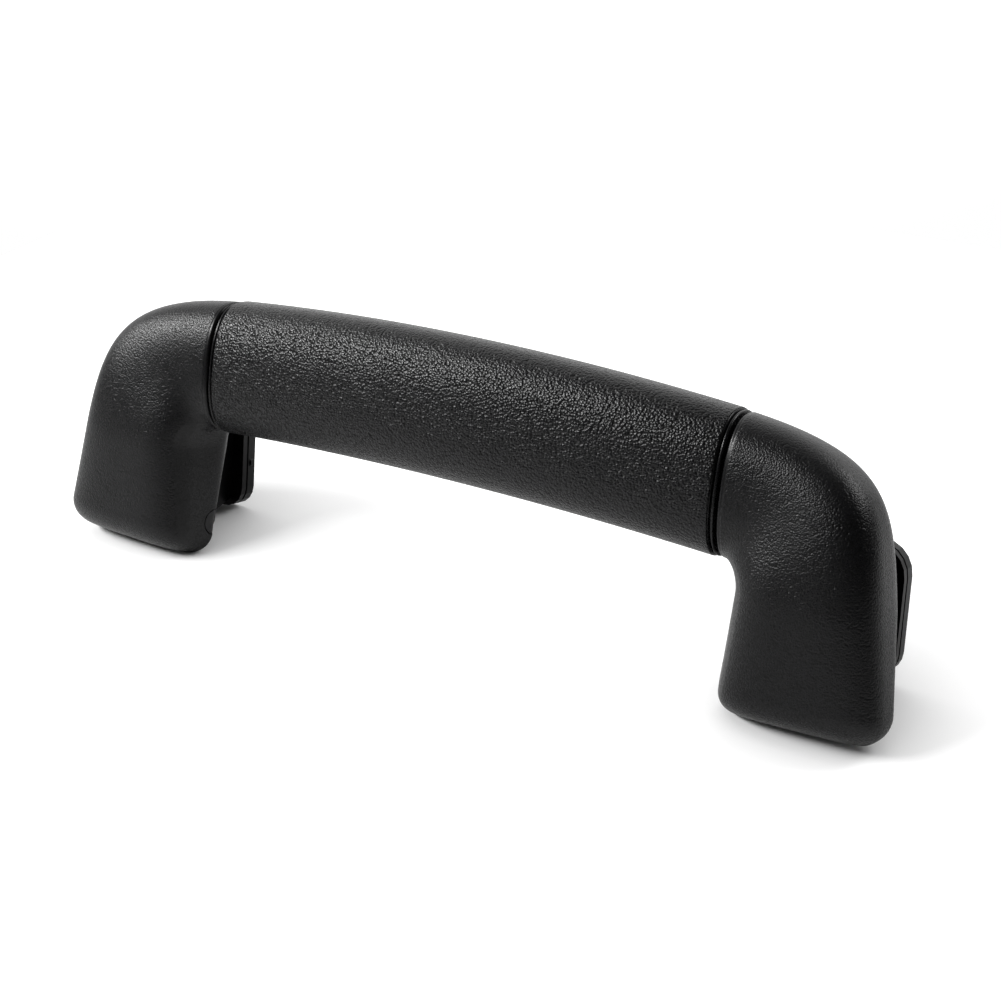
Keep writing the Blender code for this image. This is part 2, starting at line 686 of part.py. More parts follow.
def make_housing_insides(side, label):
    """Ears, ribs and bosses, trimmed to stay inside the shell's outer skin."""
    front = BAR_Y - SHOULDER_FRONT
    ear_rear = BAR_Y + FOOT_REAR - FIT / 2
    ear_top = HINGE_Z + EAR_HEIGHT
    inner_face, outer_face = side * EAR_X, side * OUTER_EAR_X
    deep = FOOT_ROUND_DEPTH
    ear = ear_outline(front, ear_rear, ear_top)
    insides = prism(f"{label}_inner_ear", ear, (side * SEAM_X, inner_face), cutters)
    outer_ear_x = (outer_face, outer_face + side * EAR_THICKNESS)
    outer_plate = prism(f"{label}_outer_ear", ear, outer_ear_x, cutters)
    combine(insides, outer_plate, "UNION")

    tongue_low = TONGUE_Z - TONGUE_HEIGHT / 2
    rib_z = (HINGE_Z + SWEEP_RADIUS + tongue_low) / 2
    shelf = box(
        f"{label}_shelf_rib",
        (side * SEAM_X, side * (FLANK_X + deep)),
        (front, BAR_Y),
        (rib_z - RIB / 2, rib_z + RIB / 2),
        cutters,
    )
    combine(insides, shelf, "UNION")
    wall_rib_x = side * NECK_MID_X
    upright = box(
        f"{label}_upright_rib",
        (wall_rib_x - RIB / 2, wall_rib_x + RIB / 2),
        (front, BAR_Y - TONGUE_DEPTH / 2 - FIT),
        (rib_z, TONGUE_Z + TONGUE_HEIGHT),
        cutters,
    )
    combine(insides, upright, "UNION")
    for k, x in enumerate(screw_places()):
        screw_boss = turned(
            f"{label}_screw_boss_{k}",
            [(front - BAR_Y, SCREW_BOSS_RADIUS), (-TONGUE_DEPTH / 2 - FIT, SCREW_BOSS_RADIUS)],
            (side * x, BAR_Y, TONGUE_Z),
            cutters,
            axis="Y",
        )
        combine(insides, screw_boss, "UNION")

    pad_top = HORN_TOP_Z - BUFFER_DROP + FIT
    pad = box(
        f"{label}_stop_pad",
        (side * (NECK_MID_X - BUFFER_WIDTH / 2), side * (NECK_MID_X + BUFFER_WIDTH / 2)),
        (front, HORN_FRONT_Y - FIT - BUFFER_DEPTH - FIT),
        (pad_top - BUFFER_HEIGHT - 2 * FIT, pad_top),
        cutters,
    )
    combine(insides, pad, "UNION")
    catch_z = HINGE_Z + SPRING_RADIUS + SPRING_WIRE + FIT
    catch_x = side * (NECK_END_X - CHEEK - SPRING_END_GAP - SPRING_WIRE)
    catch = box(
        f"{label}_spring_catch",
        (catch_x - side * 3 * SPRING_WIRE, outer_face + side * EAR_THICKNESS / 2),
        (front, HORN_FRONT_Y - RUN),
        (catch_z, catch_z + CATCH_THICKNESS),
        cutters,
    )
    combine(insides, catch, "UNION")
    rings = [section(station, side, CAVITY_SIDES) for station in housing_stations(HOUSING_WALL / 2)]
    return combine(insides, loft(f"{label}_inside_trim", rings, cutters), "INTERSECT")


def ear_outline(front, rear, top):
    """An ear follows the front wall and its rear top corner is cut back."""
    rear_top = HINGE_Z + EAR_BOSS_RADIUS
    return [(front, -HINGE_Z), (rear, -HINGE_Z), (rear, rear_top), (front, top + EAR_BOSS_RADIUS)]


def make_housing_screw(side, name, x):
    """Pan head screw through the tongue into a boss."""
    seat = TONGUE_DEPTH / 2 + FIT
    profile = [
        (seat - SCREW_LENGTH, SCREW_RADIUS * 0.4),
        (seat - SCREW_LENGTH + SCREW_RADIUS, SCREW_RADIUS),
        (seat, SCREW_RADIUS),
        (seat, SCREW_HEAD_RADIUS),
        (seat + 0.6 * SCREW_HEAD_HEIGHT, SCREW_HEAD_RADIUS),
        (seat + SCREW_HEAD_HEIGHT, 0.72 * SCREW_HEAD_RADIUS),
        (seat + SCREW_HEAD_HEIGHT, SCREW_RECESS_RADIUS),
        (seat + 0.4 * SCREW_HEAD_HEIGHT, 0.8 * SCREW_RECESS_RADIUS),
    ]
    return turned(name, profile, (side * x, BAR_Y, TONGUE_Z), parts, axis="Y", sides=12)


# Hinge pieces


def pin_head_x():
    """The front edge of the pin's head is level with the slanted inner wall."""
    depth = FOOT_FRONT + FOOT_REAR
    from_rear = (BAR_Y + FOOT_REAR - HINGE_Y + PIN_HEAD_RADIUS) / depth
    return inner_wall_x(HINGE_Z) + INNER_SLANT * from_rear


def make_hinge_pin(side, label):
    """Headed steel pin, pushed in from the foot's inner wall."""
    head_x = pin_head_x()
    tail_x = OUTER_EAR_X + PIN_SEAT
    chamfer = 0.15 * PIN_RADIUS
    profile = [
        (head_x, PIN_HEAD_RADIUS - chamfer),
        (head_x + chamfer, PIN_HEAD_RADIUS),
        (head_x + PIN_HEAD_LENGTH, PIN_HEAD_RADIUS),
        (head_x + PIN_HEAD_LENGTH, PIN_RADIUS),
        (tail_x - chamfer, PIN_RADIUS),
        (tail_x, PIN_RADIUS - chamfer),
    ]
    return turned(f"{label}_hinge_pin", profile, (0, HINGE_Y, HINGE_Z), parts, side=side)


def make_hinge_bush(side, name, face, inward):
    """Flanged plastic bush, pressed into a cheek of the neck from outside."""
    bore = PIN_RADIUS + FIT
    flange_out, flange_in = face - inward * (FIT + BUSH_FLANGE), face - inward * FIT
    inside = face + inward * CHEEK
    profile = [
        (flange_out, bore),
        (flange_out, BUSH_FLANGE_RADIUS),
        (flange_in, BUSH_FLANGE_RADIUS),
        (flange_in, BUSH_RADIUS),
        (inside, BUSH_RADIUS),
        (inside, bore),
    ]
    return turned(name, profile, (0, HINGE_Y, HINGE_Z), parts, side=side, hollow=True, sides=20)


def make_return_spring(side):
    """Torsion spring: one leg bears on the bracket's horn, the other on the housing's catch."""
    start_x = NECK_X + CHEEK + SPRING_END_GAP + SPRING_WIRE
    end_x = NECK_END_X - CHEEK - SPRING_END_GAP - SPRING_WIRE
    points = []
    first, per_turn = math.pi, 12
    top = (start_x, HINGE_Y - SPRING_RADIUS, HINGE_Z + SPRING_BRACKET_LEG)
    points.append(top)
    points.append((start_x, HINGE_Y - SPRING_RADIUS, HINGE_Z + SPRING_RADIUS))
    count = round(SPRING_TURNS * per_turn)
    for k in range(count + 1):
        share = k / count
        angle = first + 2 * math.pi * SPRING_TURNS * share
        across, up = SPRING_RADIUS * math.cos(angle), SPRING_RADIUS * math.sin(angle)
        points.append((start_x + (end_x - start_x) * share, HINGE_Y + across, HINGE_Z + up))
    points.append((end_x, HINGE_Y - SPRING_HOUSING_LEG, HINGE_Z + SPRING_RADIUS))
    curve = bpy.data.curves.new("return_spring", "CURVE")
    curve.dimensions = "3D"
    curve.bevel_depth = SPRING_WIRE
    curve.bevel_resolution = 2
    curve.use_fill_caps = True
    spline = curve.splines.new("POLY")
    spline.points.add(len(points) - 1)
    for target, (x, y, z) in zip(spline.points, points):
        target.co = (side * x, y, z, 1.0)
    return curve_to_mesh("return_spring", curve, parts)


def damper_span():
    return NECK_X + CHEEK + FIT, NECK_END_X - CHEEK - FIT


def make_damper_barrel():
    """Barrel of the rotary damper, kept from turning by its tab on the neck's floor web."""
    low, high = damper_span()
    end = high - DAMPER_CAP - FIT
    inside = DAMPER_RADIUS - DAMPER_WALL
    neck_bore = PIN_RADIUS + FIT + ROTOR_NECK_WALL + FIT
    profile = [
        (low, neck_bore), (low, DAMPER_RADIUS), (end, DAMPER_RADIUS), (end, inside),
        (low + DAMPER_WALL, inside), (low + DAMPER_WALL, neck_bore),
    ]
    barrel = turned("damper_barrel", profile, (0, HINGE_Y, HINGE_Z), parts, hollow=True)
    middle = (low + end) / 2
    tab_end = HINGE_Y + DAMPER_RADIUS + DAMPER_TAB_LENGTH
    tab_low = floor_web_top(tab_end) + FIT
    tab = box(
        "damper_tab",
        (middle - DAMPER_WALL, middle + DAMPER_WALL),
        (HINGE_Y + inside + FIT, tab_end),
        (tab_low, tab_low + DAMPER_TAB_HEIGHT),
        cutters,
    )
    return combine(barrel, tab, "UNION")


def make_damper_rotor():
    """Rotor on the pin, which turns in grease inside the barrel."""
    low, high = damper_span()
    bore, neck = PIN_RADIUS + FIT, PIN_RADIUS + FIT + ROTOR_NECK_WALL
    drum_low = low + DAMPER_WALL + FIT
    drum_high = high - DAMPER_CAP - 2 * FIT - 2 * SEAL_WIRE - 2 * FIT
    drum = ROTOR_DRUM_RADIUS
    profile = [
        (low, bore), (low, neck), (drum_low, neck), (drum_low, drum),
        (drum_high, drum), (drum_high, neck), (high, neck), (high, bore),
    ]
    return turned("damper_rotor", profile, (0, HINGE_Y, HINGE_Z), parts, hollow=True)


def make_damper_cap():
    """Cap pressed on the barrel's open end."""
    high = damper_span()[1]
    low = high - DAMPER_CAP
    bore = PIN_RADIUS + FIT + ROTOR_NECK_WALL + FIT
    profile = [(low, bore), (low, DAMPER_RADIUS), (high, DAMPER_RADIUS), (high, bore)]
    return turned("damper_cap", profile, (0, HINGE_Y, HINGE_Z), parts, hollow=True)


def make_damper_seal():
    """Sealing ring between the rotor's neck and the barrel."""
    seal_x = damper_span()[1] - DAMPER_CAP - FIT - SEAL_WIRE
    radius = PIN_RADIUS + FIT + ROTOR_NECK_WALL + FIT / 2 + SEAL_WIRE
    profile = []
    for k in range(6):
        angle = math.pi * k / 3
        profile.append((seal_x + SEAL_WIRE * math.cos(angle), radius + SEAL_WIRE * math.sin(angle)))
    return turned("damper_seal", profile, (0, HINGE_Y, HINGE_Z), parts, hollow=True, sides=20)


# Bracket pieces


def neck_outline():
    """Side view of the neck: knuckle below, horn above it and a rising back to the plate."""
    points = []
    lower = math.atan2(NECK_FOOT_Z - HINGE_Z, PLATE_FRONT_Y - HINGE_Y)
    reach = math.hypot(NECK_FOOT_Z - HINGE_Z, PLATE_FRONT_Y - HINGE_Y)
    last = 2 * math.pi + lower - math.acos(KNUCKLE_RADIUS / reach)
    for k in range(KNUCKLE_STEPS + 1):
        angle = math.pi + (last - math.pi) * k / KNUCKLE_STEPS
        across, up = KNUCKLE_RADIUS * math.cos(angle), KNUCKLE_RADIUS * math.sin(angle)
        points.append((HINGE_Y + across, HINGE_Z + up))
    points.append((PLATE_FRONT_Y, NECK_FOOT_Z))
    points.append((PLATE_FRONT_Y + PLATE_FRONT / 2, NECK_FOOT_Z))
    points.append((PLATE_FRONT_Y + PLATE_FRONT / 2, NECK_TOP_Z))
    points.append((PLATE_FRONT_Y, NECK_TOP_Z))
    points.append((HORN_FRONT_Y + NECK_TOP_RUN, HORN_TOP_Z))
    points.append((HORN_FRONT_Y, HORN_TOP_Z))
    return points


def plate_outline(inset=0.0):
    """The flange plate widens towards its lower edge, which rises outwards as the foot does."""
    middle = NECK_MID_X + PLATE_OFFSET
    low, high = PLATE_BOTTOM_Z + inset, PLATE_TOP_Z - inset
    half_low, half_high = PLATE_WIDTH_BOTTOM / 2 - inset, PLATE_WIDTH_TOP / 2 - inset
    corners = [
        (middle - half_low, low),
        (middle + half_low, low + PLATE_OUTER_RISE),
        (middle + half_high, high),
        (middle - half_high, high),
    ]
    radii = [PLATE_CORNER - inset] * 2 + [PLATE_TOP_CORNER - inset] * 2
    return rounded_outline(corners, radii)


def sided(outline, side):
    return [(side * x, z) for x, z in outline]


def make_bracket(side, label):
    """Flange plate with a grooved edge and a boxed neck."""
    groove_y = PLATE_REAR_Y - PLATE_THICKNESS
    bracket = plate(f"{label}_bracket", sided(plate_outline(), side), (groove_y, PLATE_REAR_Y), parts)
    step = plate(
        f"{label}_plate_step",
        sided(plate_outline(PLATE_GROOVE_DEPTH), side),
        (groove_y - PLATE_GROOVE - PLATE_FRONT / 2, groove_y + PLATE_THICKNESS / 2),
        cutters,
    )
    combine(bracket, step, "UNION")
    front = plate(
        f"{label}_plate_front",
        sided(plate_outline(0.1 * PLATE_GROOVE_DEPTH), side),
        (PLATE_FRONT_Y - PLATE_LIP, PLATE_FRONT_Y + PLATE_FRONT),
        cutters,
    )
    face = plate(
        f"{label}_plate_face",
        sided(plate_outline(PLATE_LIP_WIDTH), side),
        (PLATE_FRONT_Y - PLATE_THICKNESS, PLATE_FRONT_Y),
        cutters,
    )
    combine(front, face, "DIFFERENCE")
    combine(bracket, front, "UNION")

    cheek_spans = ((NECK_X, NECK_X + CHEEK), (NECK_END_X - CHEEK, NECK_END_X))
    for k, (low, high) in enumerate(cheek_spans):
        cheek = prism(f"{label}_cheek_{k}", neck_outline(), (side * low, side * high), cutters)
        combine(bracket, cheek, "UNION")
        ledge_low, ledge_high = (high, high + COVER_LEDGE) if k == 0 else (low - COVER_LEDGE, low)
        overlap = 0.5 * CHEEK
        ledge_x = (ledge_low - overlap, ledge_high) if k == 0 else (ledge_low, ledge_high + overlap)
        ledge = prism(
            f"{label}_ledge_{k}",
            cover_outline(COVER_THICKNESS + FIT, COVER_THICKNESS + FIT + COVER_LEDGE, -FIT),
            (side * ledge_x[0], side * ledge_x[1]),
            cutters,
        )
        combine(bracket, ledge, "UNION")
    inside_x = (side * (NECK_X + CHEEK / 2), side * (NECK_END_X - CHEEK / 2))
    bridge = box(
        f"{label}_horn_bridge",
        inside_x,
        (HORN_FRONT_Y + RELIEF, HORN_FRONT_Y + HORN_BRIDGE),
        (HORN_TOP_Z - HORN_BRIDGE_DROP, HORN_TOP_Z - RELIEF),
        cutters,
    )
    combine(bracket, bridge, "UNION")
    combine(bracket, prism(f"{label}_floor_web", floor_web_outline(), inside_x, cutters), "UNION")

    bush_hole = turned(
        f"{label}_bush_hole",
        [(NECK_X - CHEEK, BUSH_RADIUS + FIT), (NECK_END_X + CHEEK, BUSH_RADIUS + FIT)],
        (0, HINGE_Y, HINGE_Z),
        cutters,
        side=side,
        sides=20,
    )
    combine(bracket, bush_hole, "DIFFERENCE")
    fixing_radius = FIXING_BORE + FIXING_BUSH_WALL + FIT
    fixing_hole = turned(
        f"{label}_fixing_hole",
        [(-PLATE_REACH / 4, fixing_radius), (PLATE_REACH / 4, fixing_radius)],
        (side * NECK_MID_X, PLATE_REAR_Y, PLATE_BOTTOM_Z + FIXING_RISE),
        cutters,
        axis="Y",
    )
    combine(bracket, fixing_hole, "DIFFERENCE")
    spread = (PLATE_WIDTH_BOTTOM - PLATE_WIDTH_TOP) / 2 * NUB_HEIGHT / PLATE_HEIGHT
    edge_x = NECK_MID_X + PLATE_OFFSET - PLATE_WIDTH_BOTTOM / 2 + spread
    nub_x = edge_x + NUB_RADIUS * (1 - NUB_PROUD)
    nub = turned(
        f"{label}_edge_nub",
        [(-PLATE_THICKNESS / 4, NUB_RADIUS), (PLATE_THICKNESS / 4, NUB_RADIUS)],
        (side * nub_x, PLATE_REAR_Y - PLATE_THICKNESS / 2, PLATE_BOTTOM_Z + NUB_HEIGHT),
        cutters,
        axis="Y",
        sides=12,
    )
    return combine(bracket, nub, "UNION")


def floor_web_outline():
    """The web that closes the neck from below, behind the knuckle."""
    start = HINGE_Y + KNUCKLE_RADIUS + 2 * RUN
    low_a, low_b = neck_outline()[KNUCKLE_STEPS : KNUCKLE_STEPS + 2]
    share = (start - low_a[0]) / (low_b[0] - low_a[0])
    z = low_a[1] + share * (low_b[1] - low_a[1]) + FIT
    end = PLATE_FRONT_Y + PLATE_FRONT / 2
    low = NECK_FOOT_Z + FIT
    return [(start, z), (PLATE_FRONT_Y, low), (end, low), (end, low + WEB), (start, z + WEB)]


def floor_web_top(y):
    """Height of the web's upper face at y."""
    (high_y, high_z), (low_y, low_z) = floor_web_outline()[3:]
    return low_z + (high_z - low_z) * (y - low_y) / (high_y - low_y)


def cover_outline(top, bottom, end_gap):
    """A bent strip below the neck's upper edge, from top to bottom below it."""
    front = HORN_FRONT_Y + HORN_BRIDGE + end_gap
    bend_y = HORN_FRONT_Y + NECK_TOP_RUN
    rear = PLATE_FRONT_Y - end_gap
    slope = math.atan2(NECK_TOP_Z - HORN_TOP_Z, PLATE_FRONT_Y - bend_y)

    def line(drop):
        bend = bend_y + drop * math.tan(slope / 2)
        rise = (rear - bend) * math.tan(slope)
        return [(front, HORN_TOP_Z - drop), (bend, HORN_TOP_Z - drop), (rear, HORN_TOP_Z - drop + rise)]

    return line(top) + line(bottom)[::-1]


def make_screw_cover(side, label):
    """Snap-in lid between the cheeks, over the fixing screw's place."""
    x = (side * (NECK_X + CHEEK + FIT), side * (NECK_END_X - CHEEK - FIT))
    return prism(f"{label}_screw_cover", cover_outline(0.0, COVER_THICKNESS, FIT), x, parts)


def make_fixing_bush(side, label):
    """Steel sleeve that takes the fixing screw's clamp load."""
    outer = FIXING_BORE + FIXING_BUSH_WALL
    front = PLATE_FRONT_Y - FIT
    rear = PLATE_REAR_Y - FIT / 3
    profile = [
        (front - FIXING_FLANGE_HEIGHT, FIXING_BORE),
        (front - FIXING_FLANGE_HEIGHT, outer + FIXING_FLANGE),
        (front, outer + FIXING_FLANGE),
        (front, outer),
        (rear, outer),
        (rear, FIXING_BORE),
    ]
    centre = (side * NECK_MID_X, 0, PLATE_BOTTOM_Z + FIXING_RISE)
    return turned(f"{label}_fixing_bush", profile, centre, parts, axis="Y", hollow=True)


def make_stop_buffer(side, label):
    """Rubber pad on the horn, against which the folded handle rests."""
    top = HORN_TOP_Z - BUFFER_DROP
    x = (side * (NECK_MID_X - BUFFER_WIDTH / 2), side * (NECK_MID_X + BUFFER_WIDTH / 2))
    y = (HORN_FRONT_Y - FIT - BUFFER_DEPTH, HORN_FRONT_Y - FIT)
    return box(f"{label}_stop_buffer", x, y, (top - BUFFER_HEIGHT, top), parts)


def new_pivot(name, place):
    """The empty that a body's pieces hang on."""
    pivot = bpy.data.objects.new(name, None)
    pivot.location = place
    pivot.empty_display_size = 0.01
    parts.objects.link(pivot)
    bpy.context.view_layer.update()
    return pivot


def build():
    black = (0.020, 0.020, 0.022)
    sleeve_mat = material("soft_black_grip", (0.024, 0.024, 0.026), 0.55)
    housing_mat = material("black_grained_plastic", black, 0.50)
    core_mat = material("core_plastic", (0.035, 0.035, 0.038), 0.45)
    bracket_mat = material("bracket_plastic", (0.008, 0.008, 0.010), 0.35)
    steel = material("bright_steel", (0.55, 0.56, 0.57), 0.30, 1.0)
    spring_steel = material("spring_steel", (0.30, 0.31, 0.33), 0.35, 1.0)
    acetal = material("acetal_bush", (0.55, 0.54, 0.50), 0.45)
    damper_mat = material("damper_plastic", (0.045, 0.045, 0.05), 0.40)
    rubber = material("black_rubber", (0.015, 0.015, 0.015), 0.80)

    brackets = new_pivot("bracket_body", (0, PLATE_REAR_Y, 0))
    grip = new_pivot("grip_body", (0, HINGE_Y, HINGE_Z))

    finish_piece(make_grip_sleeve(), sleeve_mat, grip)
    finish_piece(make_core_bar(), core_mat, grip)
    left_housing = make_housing(-1, "left")
    right_housing = mirrored(left_housing, "right_end_housing")
    finish_piece(left_housing, housing_mat, grip)
    finish_piece(right_housing, housing_mat, grip)
    left_bracket = make_bracket(-1, "left")
    right_bracket = mirrored(left_bracket, "right_bracket")
    finish_piece(left_bracket, bracket_mat, brackets)
    finish_piece(right_bracket, bracket_mat, brackets)
    for side, label in ((-1, "left"), (1, "right")):
        finish_piece(make_hinge_pin(side, label), steel, grip)
        for place, x in zip(("inner", "outer"), screw_places()):
            finish_piece(make_housing_screw(side, f"{label}_{place}_housing_screw", x), steel, grip)
        for place, face, inward in (("inner", NECK_X, 1), ("outer", NECK_END_X, -1)):
            bush = make_hinge_bush(side, f"{label}_{place}_hinge_bush", face, inward)
            finish_piece(bush, acetal, brackets)
        finish_piece(make_fixing_bush(side, label), steel, brackets)
        finish_piece(make_screw_cover(side, label), bracket_mat, brackets)
        finish_piece(make_stop_buffer(side, label), rubber, brackets)
    finish_piece(make_return_spring(-1), spring_steel, brackets)
    finish_piece(make_damper_barrel(), damper_mat, brackets)
    finish_piece(make_damper_cap(), damper_mat, brackets)
    finish_piece(make_damper_seal(), rubber, brackets)
    finish_piece(make_damper_rotor(), acetal, grip)


clear_scene()
parts = new_collection(COLLECTION_NAME)
cutters = new_collection("cutters")
build()
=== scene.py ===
"""Looks of the folding roof grab handle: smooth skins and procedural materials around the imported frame.

The sleeve, the end housings and the hinge pins are made again with fine facets from the sizes of the
construction, all in metres. A white table and soft lamps stand round them.
"""

import json
import math

import bmesh
import bpy
import numpy as np
from mathutils import Matrix, Vector


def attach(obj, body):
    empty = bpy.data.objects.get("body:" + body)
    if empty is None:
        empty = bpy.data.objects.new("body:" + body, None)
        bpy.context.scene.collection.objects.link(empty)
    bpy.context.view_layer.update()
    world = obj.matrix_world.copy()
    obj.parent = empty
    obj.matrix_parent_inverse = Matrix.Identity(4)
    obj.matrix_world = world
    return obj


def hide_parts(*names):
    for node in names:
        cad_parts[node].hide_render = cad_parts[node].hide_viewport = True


# Camera, fitted to the photograph: angles in degrees, lengths in metres
AZIMUTH = 29.392
ELEVATION = 14.923
ROLL = 5.963
DISTANCE = 0.42889
TARGET = (0.00989, -0.00425, 0.02973)
FOCAL_PIXELS = 2033.975
PICTURE = 1001.0
SENSOR = 36.0
CLIP_START = 0.01

# The handle lies back on the lower edges of its plates, so the table is tilted in the handle's own frame
TABLE_TILT = math.radians(14.3)
TABLE_POINT = (0.0, 0.01685, 0.0060)

# Grip, as in the construction
SEAM_X = 0.0626
TOP_Z = 0.0629
GRIP_HEIGHT = 0.0302
GRIP_DEPTH = 0.0184
GRIP_BOW = 0.0020
TOP_ARCH_RADIUS = 0.606
UNDER_ARCH_RADIUS = 0.800
GRIP_SQUARENESS = 2.44
SLEEVE_WALL = 0.0023
SLEEVE_PROUD = 0.0003
SEAM_GAP = 0.0006
SEAM_EDGE = 0.0006

# End housing, as in the construction
HOUSING_REACH = 0.0405
HOUSING_WALL = 0.0024
FLANK_TOP_Z = 0.0268
FLANK_ANGLE = math.radians(10.0)
SHOULDER_TOP_FULLNESS = 0.97
SHOULDER_FLANK_FULLNESS = 0.72
SHOULDER_FRONT = 0.0126
SHOULDER_REAR = 0.0076
FOOT_FRONT = 0.0115
FOOT_REAR = 0.0034
FOOT_SQUARENESS = 3.4
FOOT_ROUND_DEPTH = 0.0070
FOOT_ROUND_INNER = 0.0044
FOOT_ROUND_OUTER = 0.0068
FOOT_OUTER_RISE = 0.0011
LEAST_ROUND_DEPTH = 0.0020
LEAST_ROUND = 0.0005
INNER_STEP = 0.0006
INNER_SLANT = 0.0056
OUTER_SLANT = 0.0006
INNER_DRAFT = math.radians(1.6)
INNER_BEND = 0.0050
INNER_TOP_FULLNESS = 0.8
INNER_WALL_FULLNESS = 0.6
REAR_OPENING_START = 0.30
REAR_OPENING_SHARE = 0.75

# Insides of the housing, as in the construction
TONGUE_LENGTH = 0.0240
TONGUE_HEIGHT = 0.0110
TONGUE_DEPTH = 0.0040
TONGUE_DROP = 0.0015
SCREW_INSET = 0.0045
SCREW_PITCH = 0.0085
SCREW_RADIUS = 0.0015
SCREW_LENGTH = 0.0095
SCREW_BOSS_RADIUS = 0.0034
HINGE_INSET = 0.0030
HINGE_Z = 0.0076
PIN_RADIUS = 0.0020
PIN_CHAMFER = 0.15 * PIN_RADIUS
PIN_SEAT = 0.0045
EAR_INSET = 0.0103
PIN_HEAD_RADIUS = 0.0028
PIN_HEAD_LENGTH = 0.0022
EAR_BOSS_RADIUS = 0.0039
EAR_HEIGHT = 0.0150
EAR_THICKNESS = 0.0022
BUSH_FLANGE = 0.0005
NECK_WIDTH = 0.0160
CHEEK = 0.0022
KNUCKLE_RADIUS = 0.0050
HORN_HEIGHT = 0.0166
BUFFER_DEPTH = 0.0018
BUFFER_HEIGHT = 0.0050
BUFFER_WIDTH = 0.0080
BUFFER_DROP = 0.0022
SPRING_WIRE = 0.00055
SPRING_RADIUS = 0.0031
SPRING_END_GAP = 0.0006
CATCH_THICKNESS = 0.0018
CATCH_OVERLAP = 4 * SPRING_WIRE
PLATE_REACH = 0.0211
RIB = 0.0015
FIT = 0.0003
RUN = 0.0004
RELIEF = 0.0001

# Fine facets, and the angle from which an edge stays sharp
SIDES = 128
CAVITY_SIDES = 96
ROUND_SIDES = 64
FAN_STEPS = 44
LEG_STEPS = 8
GRIP_STEPS = 72
FOOT_ROUND_STEPS = 15
SEAM_EDGE_STEPS = 8
KNUCKLE_STEPS = 24
SHARP_ANGLE = math.radians(38)

# Sleeve end, from its end inwards: distance and how far the skin is drawn in, in metres
SLEEVE_RIM = (
    (0.00000, 0.00070), (0.00006, 0.00046), (0.00016, 0.00032), (0.00034, 0.00026), (0.00052, 0.00032),
    (0.00062, 0.00046), (0.00068, 0.00070), (0.00070, 0.00085), (0.00090, 0.00085), (0.00092, 0.00050),
    (0.00097, 0.00032), (0.00107, 0.00018), (0.00122, 0.00008), (0.00140, 0.00002), (0.00155, 0.00000),
)

# Where the grain stops: metres from the edges at the seam, and the outward part of a wall's direction
SMOOTH_RIM = 0.0014
RIM_FADE = 0.0003
LIP_START = 0.0008
LIP_END = 0.0012
WALL_FACING = -0.72
WALL_FACING_END = -0.62
WALL_GRAIN = 0.12

# Grain: noise scales for a pebble one unit wide, and heights in shares of a pebble's height
WANDER_SCALE = 0.6
SMALL_SCALE = 4.0
SMALL_HEIGHT = 0.05
BROAD_SCALE = 0.35
BROAD_HEIGHT = 0.3
GRAIN_BLACK = (0.0056, 0.0056, 0.0062)

# How far a pebble falls off to its crease, and what that does to its gloss, to the painted highlight on its
# crest and to the painted shade in its crease
CREASE_FALL = 0.4
CREST_POLISH = 0.05
CREASE_DULLING = 0.08
CREST_PAINTED_HIGHLIGHT = 1.7
CREASE_PAINTED_SHADE = 0.1

# Table and lamps: lengths in metres, the reach of the table's painted contact shadow among them
TABLE_SIZE = 0.50
TABLE_LIFT = 0.70
PAINTED_SHADOW_REACH = 0.045
LAMP_AIM = (0.0, 0.0, 0.03)
LAMP_DISTANCE = 0.80

# Surroundings: the light rises from front fill to back fill as a direction turns to the bright side
BRIGHT_SIDE = (-0.50, 0.70, 0.50)
FILL_START = 0.25
FILL_END = 0.95
FRONT_FILL = 0.02
BACK_FILL = 1.20

# Places that follow
GRAIN_END = SEAM_X - SEAM_GAP / 2 - SMOOTH_RIM
BAR_Y = (SHOULDER_FRONT - PLATE_REACH) / 2
MOUTH_X = SEAM_X + SEAM_GAP / 2
FAN_X = MOUTH_X + SEAM_EDGE
HINGE_Y = BAR_Y + FOOT_REAR - HINGE_INSET
INNER_WALL_X = SEAM_X + INNER_STEP
FLANK_X = SEAM_X + HOUSING_REACH
EAR_X = SEAM_X + EAR_INSET
NECK_X = EAR_X + FIT + BUSH_FLANGE + FIT
NECK_END_X = NECK_X + NECK_WIDTH
OUTER_EAR_X = NECK_END_X + FIT + BUSH_FLANGE + FIT
NECK_MID_X = NECK_X + NECK_WIDTH / 2
HORN_TOP_Z = HINGE_Z + HORN_HEIGHT
HORN_FRONT_Y = HINGE_Y - KNUCKLE_RADIUS
SWEEP_RADIUS = math.hypot(KNUCKLE_RADIUS, HORN_HEIGHT) + RUN
TONGUE_END_X = SEAM_X + TONGUE_LENGTH

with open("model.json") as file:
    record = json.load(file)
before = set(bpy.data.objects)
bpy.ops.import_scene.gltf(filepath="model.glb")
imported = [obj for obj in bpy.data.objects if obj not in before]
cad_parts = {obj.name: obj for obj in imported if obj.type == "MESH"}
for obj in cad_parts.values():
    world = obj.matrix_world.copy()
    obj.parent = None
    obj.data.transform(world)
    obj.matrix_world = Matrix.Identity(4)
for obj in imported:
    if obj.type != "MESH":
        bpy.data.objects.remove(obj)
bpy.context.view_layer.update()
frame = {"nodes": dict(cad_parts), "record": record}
nodes = frame["nodes"]


# Mesh helpers


def mesh_object(name, bm):
    """An object in the scene, made from a bmesh that is used up."""
    bmesh.ops.recalc_face_normals(bm, faces=bm.faces)
    mesh = bpy.data.meshes.new(name)
    bm.to_mesh(mesh)
    bm.free()
    obj = bpy.data.objects.new(name, mesh)
    bpy.context.scene.collection.objects.link(obj)
    return obj


